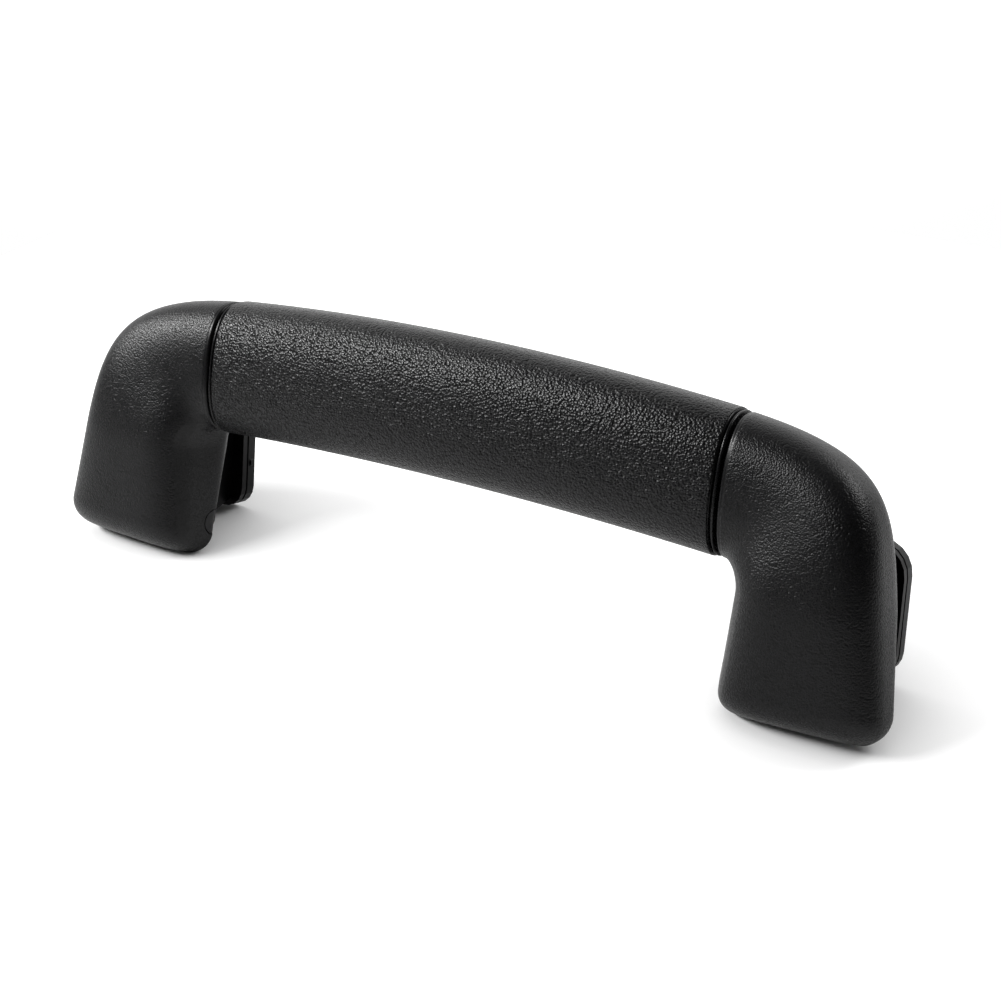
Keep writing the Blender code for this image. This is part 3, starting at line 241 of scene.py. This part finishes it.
def loft(name, rings):
    """A closed solid through rings of equal point count, capped at both ends."""
    bm = bmesh.new()
    rows = [[bm.verts.new(point) for point in ring] for ring in rings]
    count = len(rows[0])
    for low, high in zip(rows, rows[1:]):
        for i in range(count):
            j = (i + 1) % count
            bm.faces.new((low[i], low[j], high[j], high[i]))
    bm.faces.new(rows[0])
    bm.faces.new(rows[-1])
    bmesh.ops.triangulate(bm, faces=bm.faces)
    return mesh_object(name, bm)


def prism(name, outline, x):
    """A flat (y, z) outline with its thickness between two x."""
    return loft(name, [[(at, y, z) for y, z in outline] for at in x])


def box(name, x, y, z):
    return prism(name, [(y[0], z[0]), (y[1], z[0]), (y[1], z[1]), (y[0], z[1])], x)


def turned(name, profile, centre, axis="X"):
    """A turned shape: profile pairs are (along, radius) from the centre, along the axis."""
    rings = []
    for along, radius in profile:
        ring = []
        for k in range(ROUND_SIDES):
            angle = 2 * math.pi * (k + 0.5) / ROUND_SIDES
            a, b = radius * math.cos(angle), radius * math.sin(angle)
            offset = (along, a, b) if axis == "X" else (a, along, b)
            ring.append([c + o for c, o in zip(centre, offset)])
        rings.append(ring)
    return loft(name, rings)


def combine(obj, other, operation):
    """Boolean with another solid, which is used up."""
    modifier = obj.modifiers.new(operation.lower(), "BOOLEAN")
    modifier.operation = operation
    modifier.solver = "MANIFOLD"
    modifier.object = other
    joined = bpy.data.meshes.new_from_object(obj.evaluated_get(bpy.context.evaluated_depsgraph_get()))
    obj.modifiers.clear()
    obj.data = joined
    bpy.data.objects.remove(other, do_unlink=True)
    return obj


def mirrored(obj, name):
    """The opposite-hand copy of a finished piece."""
    bm = bmesh.new()
    bm.from_mesh(obj.data)
    bmesh.ops.transform(bm, matrix=Matrix.Scale(-1, 4, (1, 0, 0)), verts=bm.verts)
    return mesh_object(name, bm)


def dress(obj, mat, slot, *replaced):
    """Smooth shading, a material, a body, and the nodes that the piece stands for, which are hidden; slot is
    not used.
    """
    obj.data.shade_smooth()
    obj.data.set_sharp_from_angle(angle=SHARP_ANGLE)
    obj.data.materials.clear()
    obj.data.materials.append(mat)
    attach(obj, "grip")
    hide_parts(*replaced)


# Sections of the grip and the housings


def grip_top(x):
    return TOP_Z - x * x / (2 * TOP_ARCH_RADIUS)


def grip_under(x):
    return TOP_Z - GRIP_HEIGHT - x * x / (2 * UNDER_ARCH_RADIUS)


TONGUE_Z = (grip_top(SEAM_X) + grip_under(SEAM_X)) / 2 - TONGUE_DROP


class Station:
    """A section's outer and inner point, its front and rear, and the skin that it follows."""

    def __init__(self, outer, inner, skin, inset=0.0, squareness=2.0, slants=(0.0, 0.0), open_rear=None):
        self.outer = np.array(outer)
        self.inner = np.array(inner)
        self.skin = skin
        self.front = skin[0] + inset
        self.rear = skin[1] - inset
        self.squareness = squareness
        self.slants = slants
        self.open_rear = open_rear

    def shifted(self, dx, draw):
        """Moved along x and drawn in, for the rounded edges at a seam."""
        outer, inner = self.outer + (dx, -draw), self.inner + (dx, draw)
        copy = Station(outer, inner, self.skin, 0.0, self.squareness, self.slants)
        copy.front = self.front + draw
        copy.rear = self.rear - draw
        return copy


def section(station, sides=SIDES):
    """One closed ring in the plane of the station's outer point, its inner point and the Y direction."""
    middle = (station.outer + station.inner) / 2
    half = (station.outer - station.inner) / 2
    along = half / np.linalg.norm(half)
    skin_front, skin_rear = station.skin
    centre_y = (skin_front + skin_rear) / 2
    ring = []
    for i in range(sides):
        angle = 2 * math.pi * i / sides
        c, s = math.cos(angle), math.sin(angle)
        v = math.copysign(abs(c) ** (2 / station.squareness), c)
        w = math.copysign(abs(s) ** (2 / station.squareness), s)
        y = centre_y + w * (station.rear - centre_y if s > 0 else centre_y - station.front)
        if station.open_rear and w > REAR_OPENING_SHARE:
            y = station.open_rear
        forward = min(1.0, max(0.0, (skin_rear - y) / (skin_rear - skin_front)))
        slant = -v * station.slants[0 if v < 0 else 1]
        x, z = middle + v * half + along * slant * forward
        ring.append((x, y, z))
    return ring


def grip_station(x, inset=0.0):
    """The grip's section at x, drawn in by inset all round."""
    axis_y = BAR_Y - GRIP_BOW * max(0.0, 1 - (x / SEAM_X) ** 2)
    skin = (axis_y - GRIP_DEPTH / 2, axis_y + GRIP_DEPTH / 2)
    outer = (x, grip_top(x) - inset)
    inner = (x, grip_under(x) + inset)
    return Station(outer, inner, skin, inset, GRIP_SQUARENESS)


def smooth(t):
    """An eased step from 0 to 1."""
    return t * t * (3 - 2 * t)


def bezier(p0, p1, p2, p3, t):
    """Point and unit direction on a cubic curve."""
    s = 1 - t
    point = s**3 * p0 + 3 * s * s * t * p1 + 3 * s * t * t * p2 + t**3 * p3
    direction = s * s * (p1 - p0) + 2 * s * t * (p2 - p1) + t * t * (p3 - p2)
    return point, direction / np.linalg.norm(direction)


def crossing(a, da, b, db):
    """Where two lines cross."""
    s = ((b - a)[0] * db[1] - (b - a)[1] * db[0]) / (da[0] * db[1] - da[1] * db[0])
    return a + s * da


def flank_x(z):
    return FLANK_X - (z - FOOT_OUTER_RISE) * math.tan(FLANK_ANGLE)


def inner_wall_x(z):
    return INNER_WALL_X + z * math.tan(INNER_DRAFT)


def outer_line(t):
    """The shoulder, from the seam at t = 0 to the top of the straight flank at t = 1."""
    start = np.array((FAN_X, grip_top(FAN_X)))
    along = np.array((1.0, -FAN_X / TOP_ARCH_RADIUS))
    end = np.array((flank_x(FLANK_TOP_Z), FLANK_TOP_Z))
    down = np.array((math.sin(FLANK_ANGLE), -math.cos(FLANK_ANGLE)))
    corner = crossing(start, along, end, down)
    handle_a = start + SHOULDER_TOP_FULLNESS * (corner - start)
    handle_b = end + SHOULDER_FLANK_FULLNESS * (corner - end)
    return bezier(start, handle_a, handle_b, end, t)


def inner_line(t):
    """The inner corner, from the seam at t = 0 to the foot's straight inner wall at t = 1."""
    start = np.array((FAN_X, grip_under(FAN_X)))
    along = np.array((1.0, -FAN_X / UNDER_ARCH_RADIUS))
    wall = np.array((inner_wall_x(0), 0.0))
    up = np.array((math.tan(INNER_DRAFT), 1.0))
    corner = crossing(start, along, wall, up)
    end = corner - up * INNER_BEND
    handle_a = start + INNER_TOP_FULLNESS * (corner - start)
    handle_b = end + INNER_WALL_FULLNESS * (corner - end)
    return bezier(start, handle_a, handle_b, end, t)


def rounding(height, radius):
    """How far a rounded foot edge draws in at a height above the foot's underside."""
    if height >= radius:
        return 0.0
    return radius - math.sqrt(radius**2 - (radius - height) ** 2)


def housing_stations(inset=0.0, open_rear=None):
    """Sections of the right housing from seam to foot, drawn in by inset."""
    stations = []
    grip_front, grip_rear = BAR_Y - GRIP_DEPTH / 2, BAR_Y + GRIP_DEPTH / 2
    for i in range(FAN_STEPS + 1):
        t = i / FAN_STEPS
        g = smooth(t)
        (ox, oz), (dox, doz) = outer_line(t)
        (ix, iz), (dix, diz) = inner_line(t)
        outer = (ox + doz * inset, oz - dox * inset)
        inner = (ix - diz * inset, iz + dix * inset)
        skin = (
            grip_front + g * (BAR_Y - SHOULDER_FRONT - grip_front),
            grip_rear + g * (BAR_Y + SHOULDER_REAR - grip_rear),
        )
        opened = open_rear if t > REAR_OPENING_START else None
        squareness = GRIP_SQUARENESS + g * (FOOT_SQUARENESS - GRIP_SQUARENESS)
        slants = (INNER_SLANT * g, OUTER_SLANT * g)
        stations.append(Station(outer, inner, skin, inset, squareness, slants, opened))

    fan_inner_z = inner_line(1.0)[0][1]
    round_depth = max(FOOT_ROUND_DEPTH - inset, LEAST_ROUND_DEPTH)
    round_inner = max(FOOT_ROUND_INNER - inset, LEAST_ROUND)
    round_outer = max(FOOT_ROUND_OUTER - inset, LEAST_ROUND)
    side_shift = inset / math.cos(FLANK_ANGLE)
    places = [(k / (LEG_STEPS + 1), round_depth) for k in range(1, LEG_STEPS + 1)]
    for k in range(FOOT_ROUND_STEPS + 1):
        places.append((1.0, round_depth * (1 - math.sin(math.pi / 2 * k / FOOT_ROUND_STEPS))))
    for share, height in places:
        inner_z = inset + height + (1 - share) * (fan_inner_z - inset - round_depth)
        outer_z = inset + height + FOOT_OUTER_RISE + (1 - share) * (
            FLANK_TOP_Z - inset - round_depth - FOOT_OUTER_RISE
        )
        outer = (flank_x(outer_z) - side_shift - rounding(height, round_outer), outer_z)
        inner = (inner_wall_x(inner_z) + inset + rounding(height, round_inner), inner_z)
        draw = rounding(height, round_depth)
        skin = (
            BAR_Y - SHOULDER_FRONT + share * (SHOULDER_FRONT - FOOT_FRONT) + draw,
            BAR_Y + SHOULDER_REAR + share * (FOOT_REAR - SHOULDER_REAR) - draw,
        )
        slants = (INNER_SLANT, OUTER_SLANT)
        stations.append(Station(outer, inner, skin, inset, FOOT_SQUARENESS, slants, open_rear))
    return stations


# Skins


def make_sleeve():
    """Soft sleeve: each end carries a sunken rim behind a groove."""
    end = SEAM_X - SEAM_GAP / 2
    ends = [(end - distance, draw - SLEEVE_PROUD) for distance, draw in SLEEVE_RIM]
    plain_end = ends[-1][0]
    rings = [section(grip_station(-x, inset)) for x, inset in ends]
    for i in range(1, GRIP_STEPS):
        rings.append(section(grip_station(plain_end * (2 * i / GRIP_STEPS - 1), -SLEEVE_PROUD)))
    rings += [section(grip_station(x, inset)) for x, inset in reversed(ends)]
    sleeve = loft("soft_sleeve", rings)
    reach = SEAM_X + SEAM_GAP
    hollow = [
        section(grip_station(reach * (2 * i / GRIP_STEPS - 1), SLEEVE_WALL), CAVITY_SIDES)
        for i in range(GRIP_STEPS + 1)
    ]
    return combine(sleeve, loft("sleeve_hollow", hollow), "DIFFERENCE")


def screw_places():
    """Where along x the two screws of a tongue stand."""
    last = TONGUE_END_X - SCREW_INSET
    return [last - SCREW_PITCH, last]


def pin_head_x():
    """Where the slanted inner wall lies at the rear edge of the pin's head."""
    depth = FOOT_FRONT + FOOT_REAR
    from_rear = (BAR_Y + FOOT_REAR - HINGE_Y + PIN_HEAD_RADIUS) / depth
    return inner_wall_x(HINGE_Z) + INNER_SLANT * from_rear


def make_housing():
    """Right housing: a shell with an open rear, hinge ears, ribs, screw bosses, stop pad and spring catch."""
    stations = housing_stations()
    rings = []
    for k in range(SEAM_EDGE_STEPS):
        angle = math.pi / 2 * k / SEAM_EDGE_STEPS
        edge = stations[0].shifted(-SEAM_EDGE * math.cos(angle), SEAM_EDGE * (1 - math.sin(angle)))
        rings.append(section(edge))
    rings += [section(station) for station in stations]
    housing = loft("right_housing_skin", rings)

    cavity = housing_stations(HOUSING_WALL, open_rear=BAR_Y + 2 * PLATE_REACH)
    mouth = cavity[0].shifted(-SEAM_GAP - SEAM_EDGE, 0.0)
    hollow = [section(station, CAVITY_SIDES) for station in [mouth] + cavity[1:]]
    combine(housing, loft("cavity", hollow), "DIFFERENCE")
    combine(housing, make_insides(), "UNION")

    hinge = (0.0, HINGE_Y, HINGE_Z)
    bore_end = OUTER_EAR_X + PIN_SEAT + FIT
    head_end = pin_head_x() + PIN_HEAD_LENGTH + FIT
    for start, end in ((head_end + RELIEF, EAR_X), (OUTER_EAR_X + RIB / 2, bore_end + RIB)):
        boss = turned("boss", [(start, EAR_BOSS_RADIUS), (end, EAR_BOSS_RADIUS)], hinge)
        combine(housing, boss, "UNION")
    bore = [
        (SEAM_X - PIN_SEAT, PIN_HEAD_RADIUS + FIT),
        (head_end, PIN_HEAD_RADIUS + FIT),
        (head_end, PIN_RADIUS + FIT),
        (bore_end, PIN_RADIUS + FIT),
    ]
    openings = combine(make_neck_slot(), turned("bore", bore, hinge), "UNION")
    for x in screw_places():
        front = TONGUE_DEPTH / 2 - SCREW_LENGTH
        profile = [(front, SCREW_RADIUS + FIT), (TONGUE_DEPTH, SCREW_RADIUS + FIT)]
        combine(openings, turned("pilot", profile, (x, BAR_Y, TONGUE_Z), "Y"), "UNION")
    return combine(housing, openings, "DIFFERENCE")


def make_neck_slot():
    """Room for the knuckle and for the neck, which swings from the open rear to below the foot."""
    radius = KNUCKLE_RADIUS + RUN
    rear = BAR_Y + FOOT_REAR + PLATE_REACH
    outline = [(rear, HINGE_Z), (rear, -HINGE_Z), (HINGE_Y - radius, -HINGE_Z)]
    for k in range(KNUCKLE_STEPS + 1):
        angle = math.pi * (1 - k / KNUCKLE_STEPS)
        outline.append((HINGE_Y + radius * math.cos(angle), HINGE_Z + radius * math.sin(angle)))
    return prism("neck_slot", outline, (EAR_X - RELIEF, OUTER_EAR_X + RELIEF))


def make_insides():
    """Ears, ribs and bosses, trimmed to stay inside the shell's outer skin."""
    front = BAR_Y - SHOULDER_FRONT
    ear_rear = BAR_Y + FOOT_REAR - FIT / 2
    rear_top = HINGE_Z + EAR_BOSS_RADIUS
    ear = [(front, -HINGE_Z), (ear_rear, -HINGE_Z), (ear_rear, rear_top), (front, rear_top + EAR_HEIGHT)]
    insides = prism("insides", ear, (SEAM_X, EAR_X))
    rib_z = (HINGE_Z + SWEEP_RADIUS + TONGUE_Z - TONGUE_HEIGHT / 2) / 2
    pad_top = HORN_TOP_Z - BUFFER_DROP + FIT
    catch_z = HINGE_Z + SPRING_RADIUS + SPRING_WIRE + FIT
    catch_x = NECK_END_X - CHEEK - SPRING_END_GAP - CATCH_OVERLAP
    joined = [
        prism("outer_ear", ear, (OUTER_EAR_X, OUTER_EAR_X + EAR_THICKNESS)),
        box(
            "shelf",
            (SEAM_X, FLANK_X + FOOT_ROUND_DEPTH),
            (front, BAR_Y),
            (rib_z - RIB / 2, rib_z + RIB / 2),
        ),
        box(
            "upright",
            (NECK_MID_X - RIB / 2, NECK_MID_X + RIB / 2),
            (front, BAR_Y - TONGUE_DEPTH / 2 - FIT),
            (rib_z, TONGUE_Z + TONGUE_HEIGHT),
        ),
        box(
            "stop_pad",
            (NECK_MID_X - BUFFER_WIDTH / 2, NECK_MID_X + BUFFER_WIDTH / 2),
            (front, HORN_FRONT_Y - FIT - BUFFER_DEPTH - FIT),
            (pad_top - BUFFER_HEIGHT - 2 * FIT, pad_top),
        ),
        box(
            "spring_catch",
            (catch_x, OUTER_EAR_X + EAR_THICKNESS / 2),
            (front, HORN_FRONT_Y - RUN),
            (catch_z, catch_z + CATCH_THICKNESS),
        ),
    ]
    for x in screw_places():
        profile = [(front - BAR_Y, SCREW_BOSS_RADIUS), (-TONGUE_DEPTH / 2 - FIT, SCREW_BOSS_RADIUS)]
        joined.append(turned("screw_boss", profile, (x, BAR_Y, TONGUE_Z), "Y"))
    for piece in joined:
        combine(insides, piece, "UNION")
    rings = [section(station, CAVITY_SIDES) for station in housing_stations(HOUSING_WALL / 2)]
    return combine(insides, loft("trim", rings), "INTERSECT")


def make_hinge_pin():
    """Pin whose head is level with the slanted inner wall all round."""
    head_x = inner_wall_x(HINGE_Z) - INNER_STEP
    tail_x = OUTER_EAR_X + PIN_SEAT
    head_end = pin_head_x() + PIN_HEAD_LENGTH
    profile = [
        (head_x, PIN_HEAD_RADIUS),
        (head_end, PIN_HEAD_RADIUS),
        (head_end, PIN_RADIUS),
        (tail_x - PIN_CHAMFER, PIN_RADIUS),
        (tail_x, PIN_RADIUS - PIN_CHAMFER),
    ]
    rings = [section(station) for station in housing_stations(RELIEF)]
    pin = turned("right_pin_skin", profile, (0.0, HINGE_Y, HINGE_Z))
    return combine(pin, loft("pin_trim", rings), "INTERSECT")


# Materials


def tree_of(name):
    """A new material with its node tree and its shader."""
    mat = bpy.data.materials.new(name)
    mat.use_nodes = True
    return mat, mat.node_tree, mat.node_tree.nodes["Principled BSDF"]


def add(tree, kind, **values):
    """A node with values for its settings or its inputs."""
    node = tree.nodes.new(kind)
    for key, value in values.items():
        if hasattr(node, key):
            setattr(node, key, value)
        else:
            node.inputs[key].default_value = value
    return node


def maths(tree, operation, *sources):
    """A math node; each source is a socket or a number."""
    node = tree.nodes.new("ShaderNodeMath")
    node.operation = operation
    for k, source in enumerate(sources):
        if isinstance(source, (int, float)):
            node.inputs[k].default_value = source
        else:
            tree.links.new(source, node.inputs[k])
    return node.outputs["Value"]


def mapped(tree, source, start, end, low=0.0, high=1.0, interpolation="SMOOTHSTEP"):
    """Goes from low to high while the source goes from start to end."""
    node = add(tree, "ShaderNodeMapRange", interpolation_type=interpolation)
    for key, value in (("From Min", start), ("From Max", end), ("To Min", low), ("To Max", high)):
        node.inputs[key].default_value = value
    tree.links.new(source, node.inputs["Value"])
    return node.outputs["Result"]


def noise(tree, place, **values):
    """The outputs of a noise in the object's own coordinates."""
    node = add(tree, "ShaderNodeTexNoise", **values)
    tree.links.new(place.outputs["Object"], node.inputs["Vector"])
    return node.outputs


def emboss(tree, shader, height, strength, distance):
    """Bumps from a height."""
    bump = add(tree, "ShaderNodeBump", Strength=strength, Distance=distance)
    tree.links.new(height, bump.inputs["Height"])
    tree.links.new(bump.outputs["Normal"], shader.inputs["Normal"])


def plain(name, colour, roughness, grain, metallic=0.0, specular=0.5):
    """A plain plastic, rubber or metal, with a fine bump: (scale, distance, strength)."""
    mat, tree, shader = tree_of(name)
    shader.inputs["Base Color"].default_value = (*colour, 1.0)
    shader.inputs["Roughness"].default_value = roughness
    shader.inputs["Metallic"].default_value = metallic
    shader.inputs["Specular IOR Level"].default_value = specular
    scale, distance, strength = grain
    place = add(tree, "ShaderNodeTexCoord")
    height = noise(tree, place, Scale=scale, Detail=3.0, Roughness=0.6)["Fac"]
    emboss(tree, shader, height, strength, distance)
    return mat


def leather(name, colour, roughness, cell, depth, shine, warp, mask):
    """Moulded leather grain: warped, rounded pebbles with fine noise, where mask lets them show, and painted
    light in the base colour: a painted highlight on every crest and painted shade in every crease.
    """
    mat, tree, shader = tree_of(name)
    shader.inputs["Specular IOR Level"].default_value = shine
    link = tree.links.new
    place = add(tree, "ShaderNodeTexCoord")
    wander = noise(tree, place, Scale=WANDER_SCALE / cell, Detail=2.0)["Color"]
    scaled = add(tree, "ShaderNodeVectorMath", operation="SCALE")
    scaled.inputs["Scale"].default_value = warp * cell
    link(wander, scaled.inputs[0])
    moved = add(tree, "ShaderNodeVectorMath", operation="ADD")
    link(place.outputs["Object"], moved.inputs[0])
    link(scaled.outputs["Vector"], moved.inputs[1])
    cells = add(tree, "ShaderNodeTexVoronoi", feature="F1", Scale=1.0 / cell)
    link(moved.outputs["Vector"], cells.inputs["Vector"])
    fall = maths(tree, "MULTIPLY", cells.outputs["Distance"], cells.outputs["Distance"])

    small = noise(tree, place, Scale=SMALL_SCALE / cell, Detail=3.0, Roughness=0.65)["Fac"]
    broad = noise(tree, place, Scale=BROAD_SCALE / cell, Detail=2.0)["Fac"]
    height = maths(tree, "MULTIPLY_ADD", fall, -1.0, 1.0)
    height = maths(tree, "MULTIPLY_ADD", small, SMALL_HEIGHT, height)
    height = maths(tree, "MULTIPLY_ADD", broad, BROAD_HEIGHT, height)
    height = maths(tree, "MULTIPLY", height, mask(tree, place))
    emboss(tree, shader, height, 1.0, depth)

    polished, dulled = roughness - CREST_POLISH, roughness + CREASE_DULLING
    link(mapped(tree, fall, 0.0, CREASE_FALL, polished, dulled, "LINEAR"), shader.inputs["Roughness"])
    # Painted light: the base colour is lighter on the pebbles' crests as a painted highlight and darker in
    # their creases as painted shade
    painted_light_mix = add(tree, "ShaderNodeMix", data_type="RGBA")
    painted_light_mix.inputs["A"].default_value = (*(CREST_PAINTED_HIGHLIGHT * c for c in colour), 1.0)
    painted_light_mix.inputs["B"].default_value = (*(CREASE_PAINTED_SHADE * c for c in colour), 1.0)
    link(mapped(tree, fall, 0.0, CREASE_FALL, interpolation="LINEAR"), painted_light_mix.inputs["Factor"])
    link(painted_light_mix.outputs["Result"], shader.inputs["Base Color"])
    return mat


def along_x(tree, vector):
    """The x of a vector."""
    node = tree.nodes.new("ShaderNodeSeparateXYZ")
    tree.links.new(vector, node.inputs["Vector"])
    return node.outputs["X"]


def between_ends(tree, place):
    """1 on the sleeve, 0 on the smooth rims at its ends."""
    from_middle = maths(tree, "ABSOLUTE", along_x(tree, place.outputs["Object"]))
    return mapped(tree, from_middle, GRAIN_END + RIM_FADE, GRAIN_END)


def not_on_inner_wall(tree, place):
    """1 on the grained outside, 0 on the lip at the seam, little on the wall that faces the other foot."""
    x = along_x(tree, place.outputs["Object"])
    outward = maths(tree, "MULTIPLY", maths(tree, "SIGN", x), along_x(tree, place.outputs["Normal"]))
    wall = mapped(tree, outward, WALL_FACING, WALL_FACING_END, low=WALL_GRAIN)
    lip = mapped(tree, maths(tree, "ABSOLUTE", x), MOUTH_X + LIP_START, MOUTH_X + LIP_END)
    return maths(tree, "MULTIPLY", wall, lip)


sleeve_mat = leather(
    "soft_grip_leather",
    GRAIN_BLACK,
    roughness=0.26,
    cell=0.00054,
    depth=0.00018,
    shine=0.30,
    warp=0.8,
    mask=between_ends,
)
housing_mat = leather(
    "fine_moulded_grain",
    GRAIN_BLACK,
    roughness=0.29,
    cell=0.00037,
    depth=0.000085,
    shine=0.28,
    warp=0.6,
    mask=not_on_inner_wall,
)
bracket_mat = plain(
    "bracket_plastic_satin", (0.0015, 0.0015, 0.0018), 0.36, grain=(2500.0, 0.00003, 0.2), specular=0.18
)
core_mat = plain("core_plastic_matt", (0.030, 0.030, 0.033), 0.50, grain=(1800.0, 0.00004, 0.3))
pale_mat = plain("pale_acetal", (0.50, 0.49, 0.45), 0.42, grain=(1200.0, 0.00002, 0.2))
rubber_mat = plain("buffer_rubber_matt", (0.014, 0.014, 0.014), 0.80, grain=(2000.0, 0.00005, 0.4))
steel_mat = plain("zinc_plated_steel", (0.52, 0.53, 0.54), 0.32, grain=(900.0, 0.00001, 0.3), metallic=1.0)
spring_mat = plain("oiled_spring_wire", (0.28, 0.29, 0.31), 0.35, grain=(1500.0, 0.00001, 0.3), metallic=1.0)
pin_mat = plain("blackened_pin", (0.005, 0.005, 0.006), 0.42, grain=(2500.0, 0.00002, 0.3), specular=0.35)

by_slot = {
    "soft_grip": sleeve_mat,
    "grained_plastic": housing_mat,
    "bracket_plastic": bracket_mat,
    "core_plastic": core_mat,
    "pale_plastic": pale_mat,
    "buffer_rubber": rubber_mat,
    "steel": steel_mat,
    "spring_steel": spring_mat,
}
slot_of = {part["node"]: part["material_slot"] for part in frame["record"]["subparts"]}
for name, obj in nodes.items():
    mat = pin_mat if name.endswith("hinge_pin") else by_slot[slot_of[name]]
    obj.data.materials.clear()
    obj.data.materials.append(mat)

dress(make_sleeve(), sleeve_mat, "soft_grip", "grip_sleeve")
right_housing = make_housing()
left_housing = mirrored(right_housing, "left_housing_skin")
dress(right_housing, housing_mat, "grained_plastic", "right_end_housing")
dress(left_housing, housing_mat, "grained_plastic", "left_end_housing")

right_pin = make_hinge_pin()
left_pin = mirrored(right_pin, "left_pin_skin")
dress(right_pin, pin_mat, "steel", "right_hinge_pin")
dress(left_pin, pin_mat, "steel", "left_hinge_pin")


# Table, camera, lamps and surroundings


def make_table():
    """White table that shines for the camera alone, and less where something stands close to it, as a painted
    contact shadow.
    """
    bpy.ops.mesh.primitive_plane_add(size=TABLE_SIZE, location=TABLE_POINT, rotation=(TABLE_TILT, 0.0, 0.0))
    obj = bpy.context.object
    obj.name = "table"
    mat, tree, shader = tree_of("white_table")
    shader.inputs["Base Color"].default_value = (0.80, 0.80, 0.80, 1.0)
    shader.inputs["Roughness"].default_value = 0.9
    shader.inputs["Specular IOR Level"].default_value = 0.1
    shader.inputs["Emission Color"].default_value = (1.0, 1.0, 1.0, 1.0)
    seen = add(tree, "ShaderNodeLightPath")
    # Painted contact shadow: the glow that the camera sees fades where the occlusion near the handle is high
    painted_shadow_ao = add(tree, "ShaderNodeAmbientOcclusion", Distance=PAINTED_SHADOW_REACH)
    openness = maths(tree, "MULTIPLY", painted_shadow_ao.outputs["AO"], painted_shadow_ao.outputs["AO"])
    lift = maths(tree, "MULTIPLY", seen.outputs["Is Camera Ray"], TABLE_LIFT)
    lift = maths(tree, "MULTIPLY", lift, openness)
    tree.links.new(lift, shader.inputs["Emission Strength"])
    obj.data.materials.append(mat)
    return obj


def make_camera():
    """The camera that took the photograph, as its outline gives it."""
    az, el, roll = (math.radians(a) for a in (AZIMUTH, ELEVATION, ROLL))
    forward = Vector((-math.sin(az) * math.cos(el), math.cos(az) * math.cos(el), -math.sin(el)))
    right = Vector((math.cos(az), math.sin(az), 0.0))
    up = right.cross(forward)
    right, up = math.cos(roll) * right + math.sin(roll) * up, math.cos(roll) * up - math.sin(roll) * right
    turn = Matrix((right, up, -forward)).transposed()
    camera = bpy.data.objects.new("camera", bpy.data.cameras.new("camera"))
    bpy.context.scene.collection.objects.link(camera)
    camera.matrix_world = Matrix.Translation(Vector(TARGET) - DISTANCE * forward) @ turn.to_4x4()
    camera.data.sensor_width = SENSOR
    camera.data.lens = FOCAL_PIXELS / PICTURE * SENSOR
    camera.data.clip_start = CLIP_START
    bpy.context.scene.camera = camera


def softbox(name, direction, size, power):
    """An area light that looks at the handle from a direction."""
    data = bpy.data.lights.new(name, "AREA")
    data.shape = "RECTANGLE"
    data.size, data.size_y = size
    data.energy = power
    light = bpy.data.objects.new(name, data)
    bpy.context.scene.collection.objects.link(light)
    aim = Vector(LAMP_AIM)
    light.location = aim + LAMP_DISTANCE * Vector(direction).normalized()
    light.rotation_euler = (aim - light.location).to_track_quat("-Z", "Y").to_euler()


def make_room():
    """White surroundings that light the handle brightly from high up behind it and dimly from its front."""
    world = bpy.data.worlds.new("white_room")
    bpy.context.scene.world = world
    world.use_nodes = True
    tree = world.node_tree
    background = tree.nodes["Background"]
    background.inputs["Color"].default_value = (1.0, 1.0, 1.0, 1.0)
    direction = add(tree, "ShaderNodeTexCoord")
    towards = add(tree, "ShaderNodeVectorMath", operation="DOT_PRODUCT")
    towards.inputs[1].default_value = BRIGHT_SIDE
    tree.links.new(direction.outputs["Generated"], towards.inputs[0])
    fill = mapped(tree, towards.outputs["Value"], FILL_START, FILL_END, FRONT_FILL, BACK_FILL)
    ray = add(tree, "ShaderNodeLightPath")
    strength = maths(tree, "MAXIMUM", fill, ray.outputs["Is Camera Ray"])
    tree.links.new(strength, background.inputs["Strength"])


table = make_table()
make_camera()
softbox("key", direction=(-0.68, -0.57, 0.46), size=(0.60, 0.15), power=9.0)
softbox("rim", direction=(0.55, 0.40, 0.72), size=(0.35, 0.35), power=2.6)
make_room()

bpy.context.scene.view_settings.view_transform = "Standard"
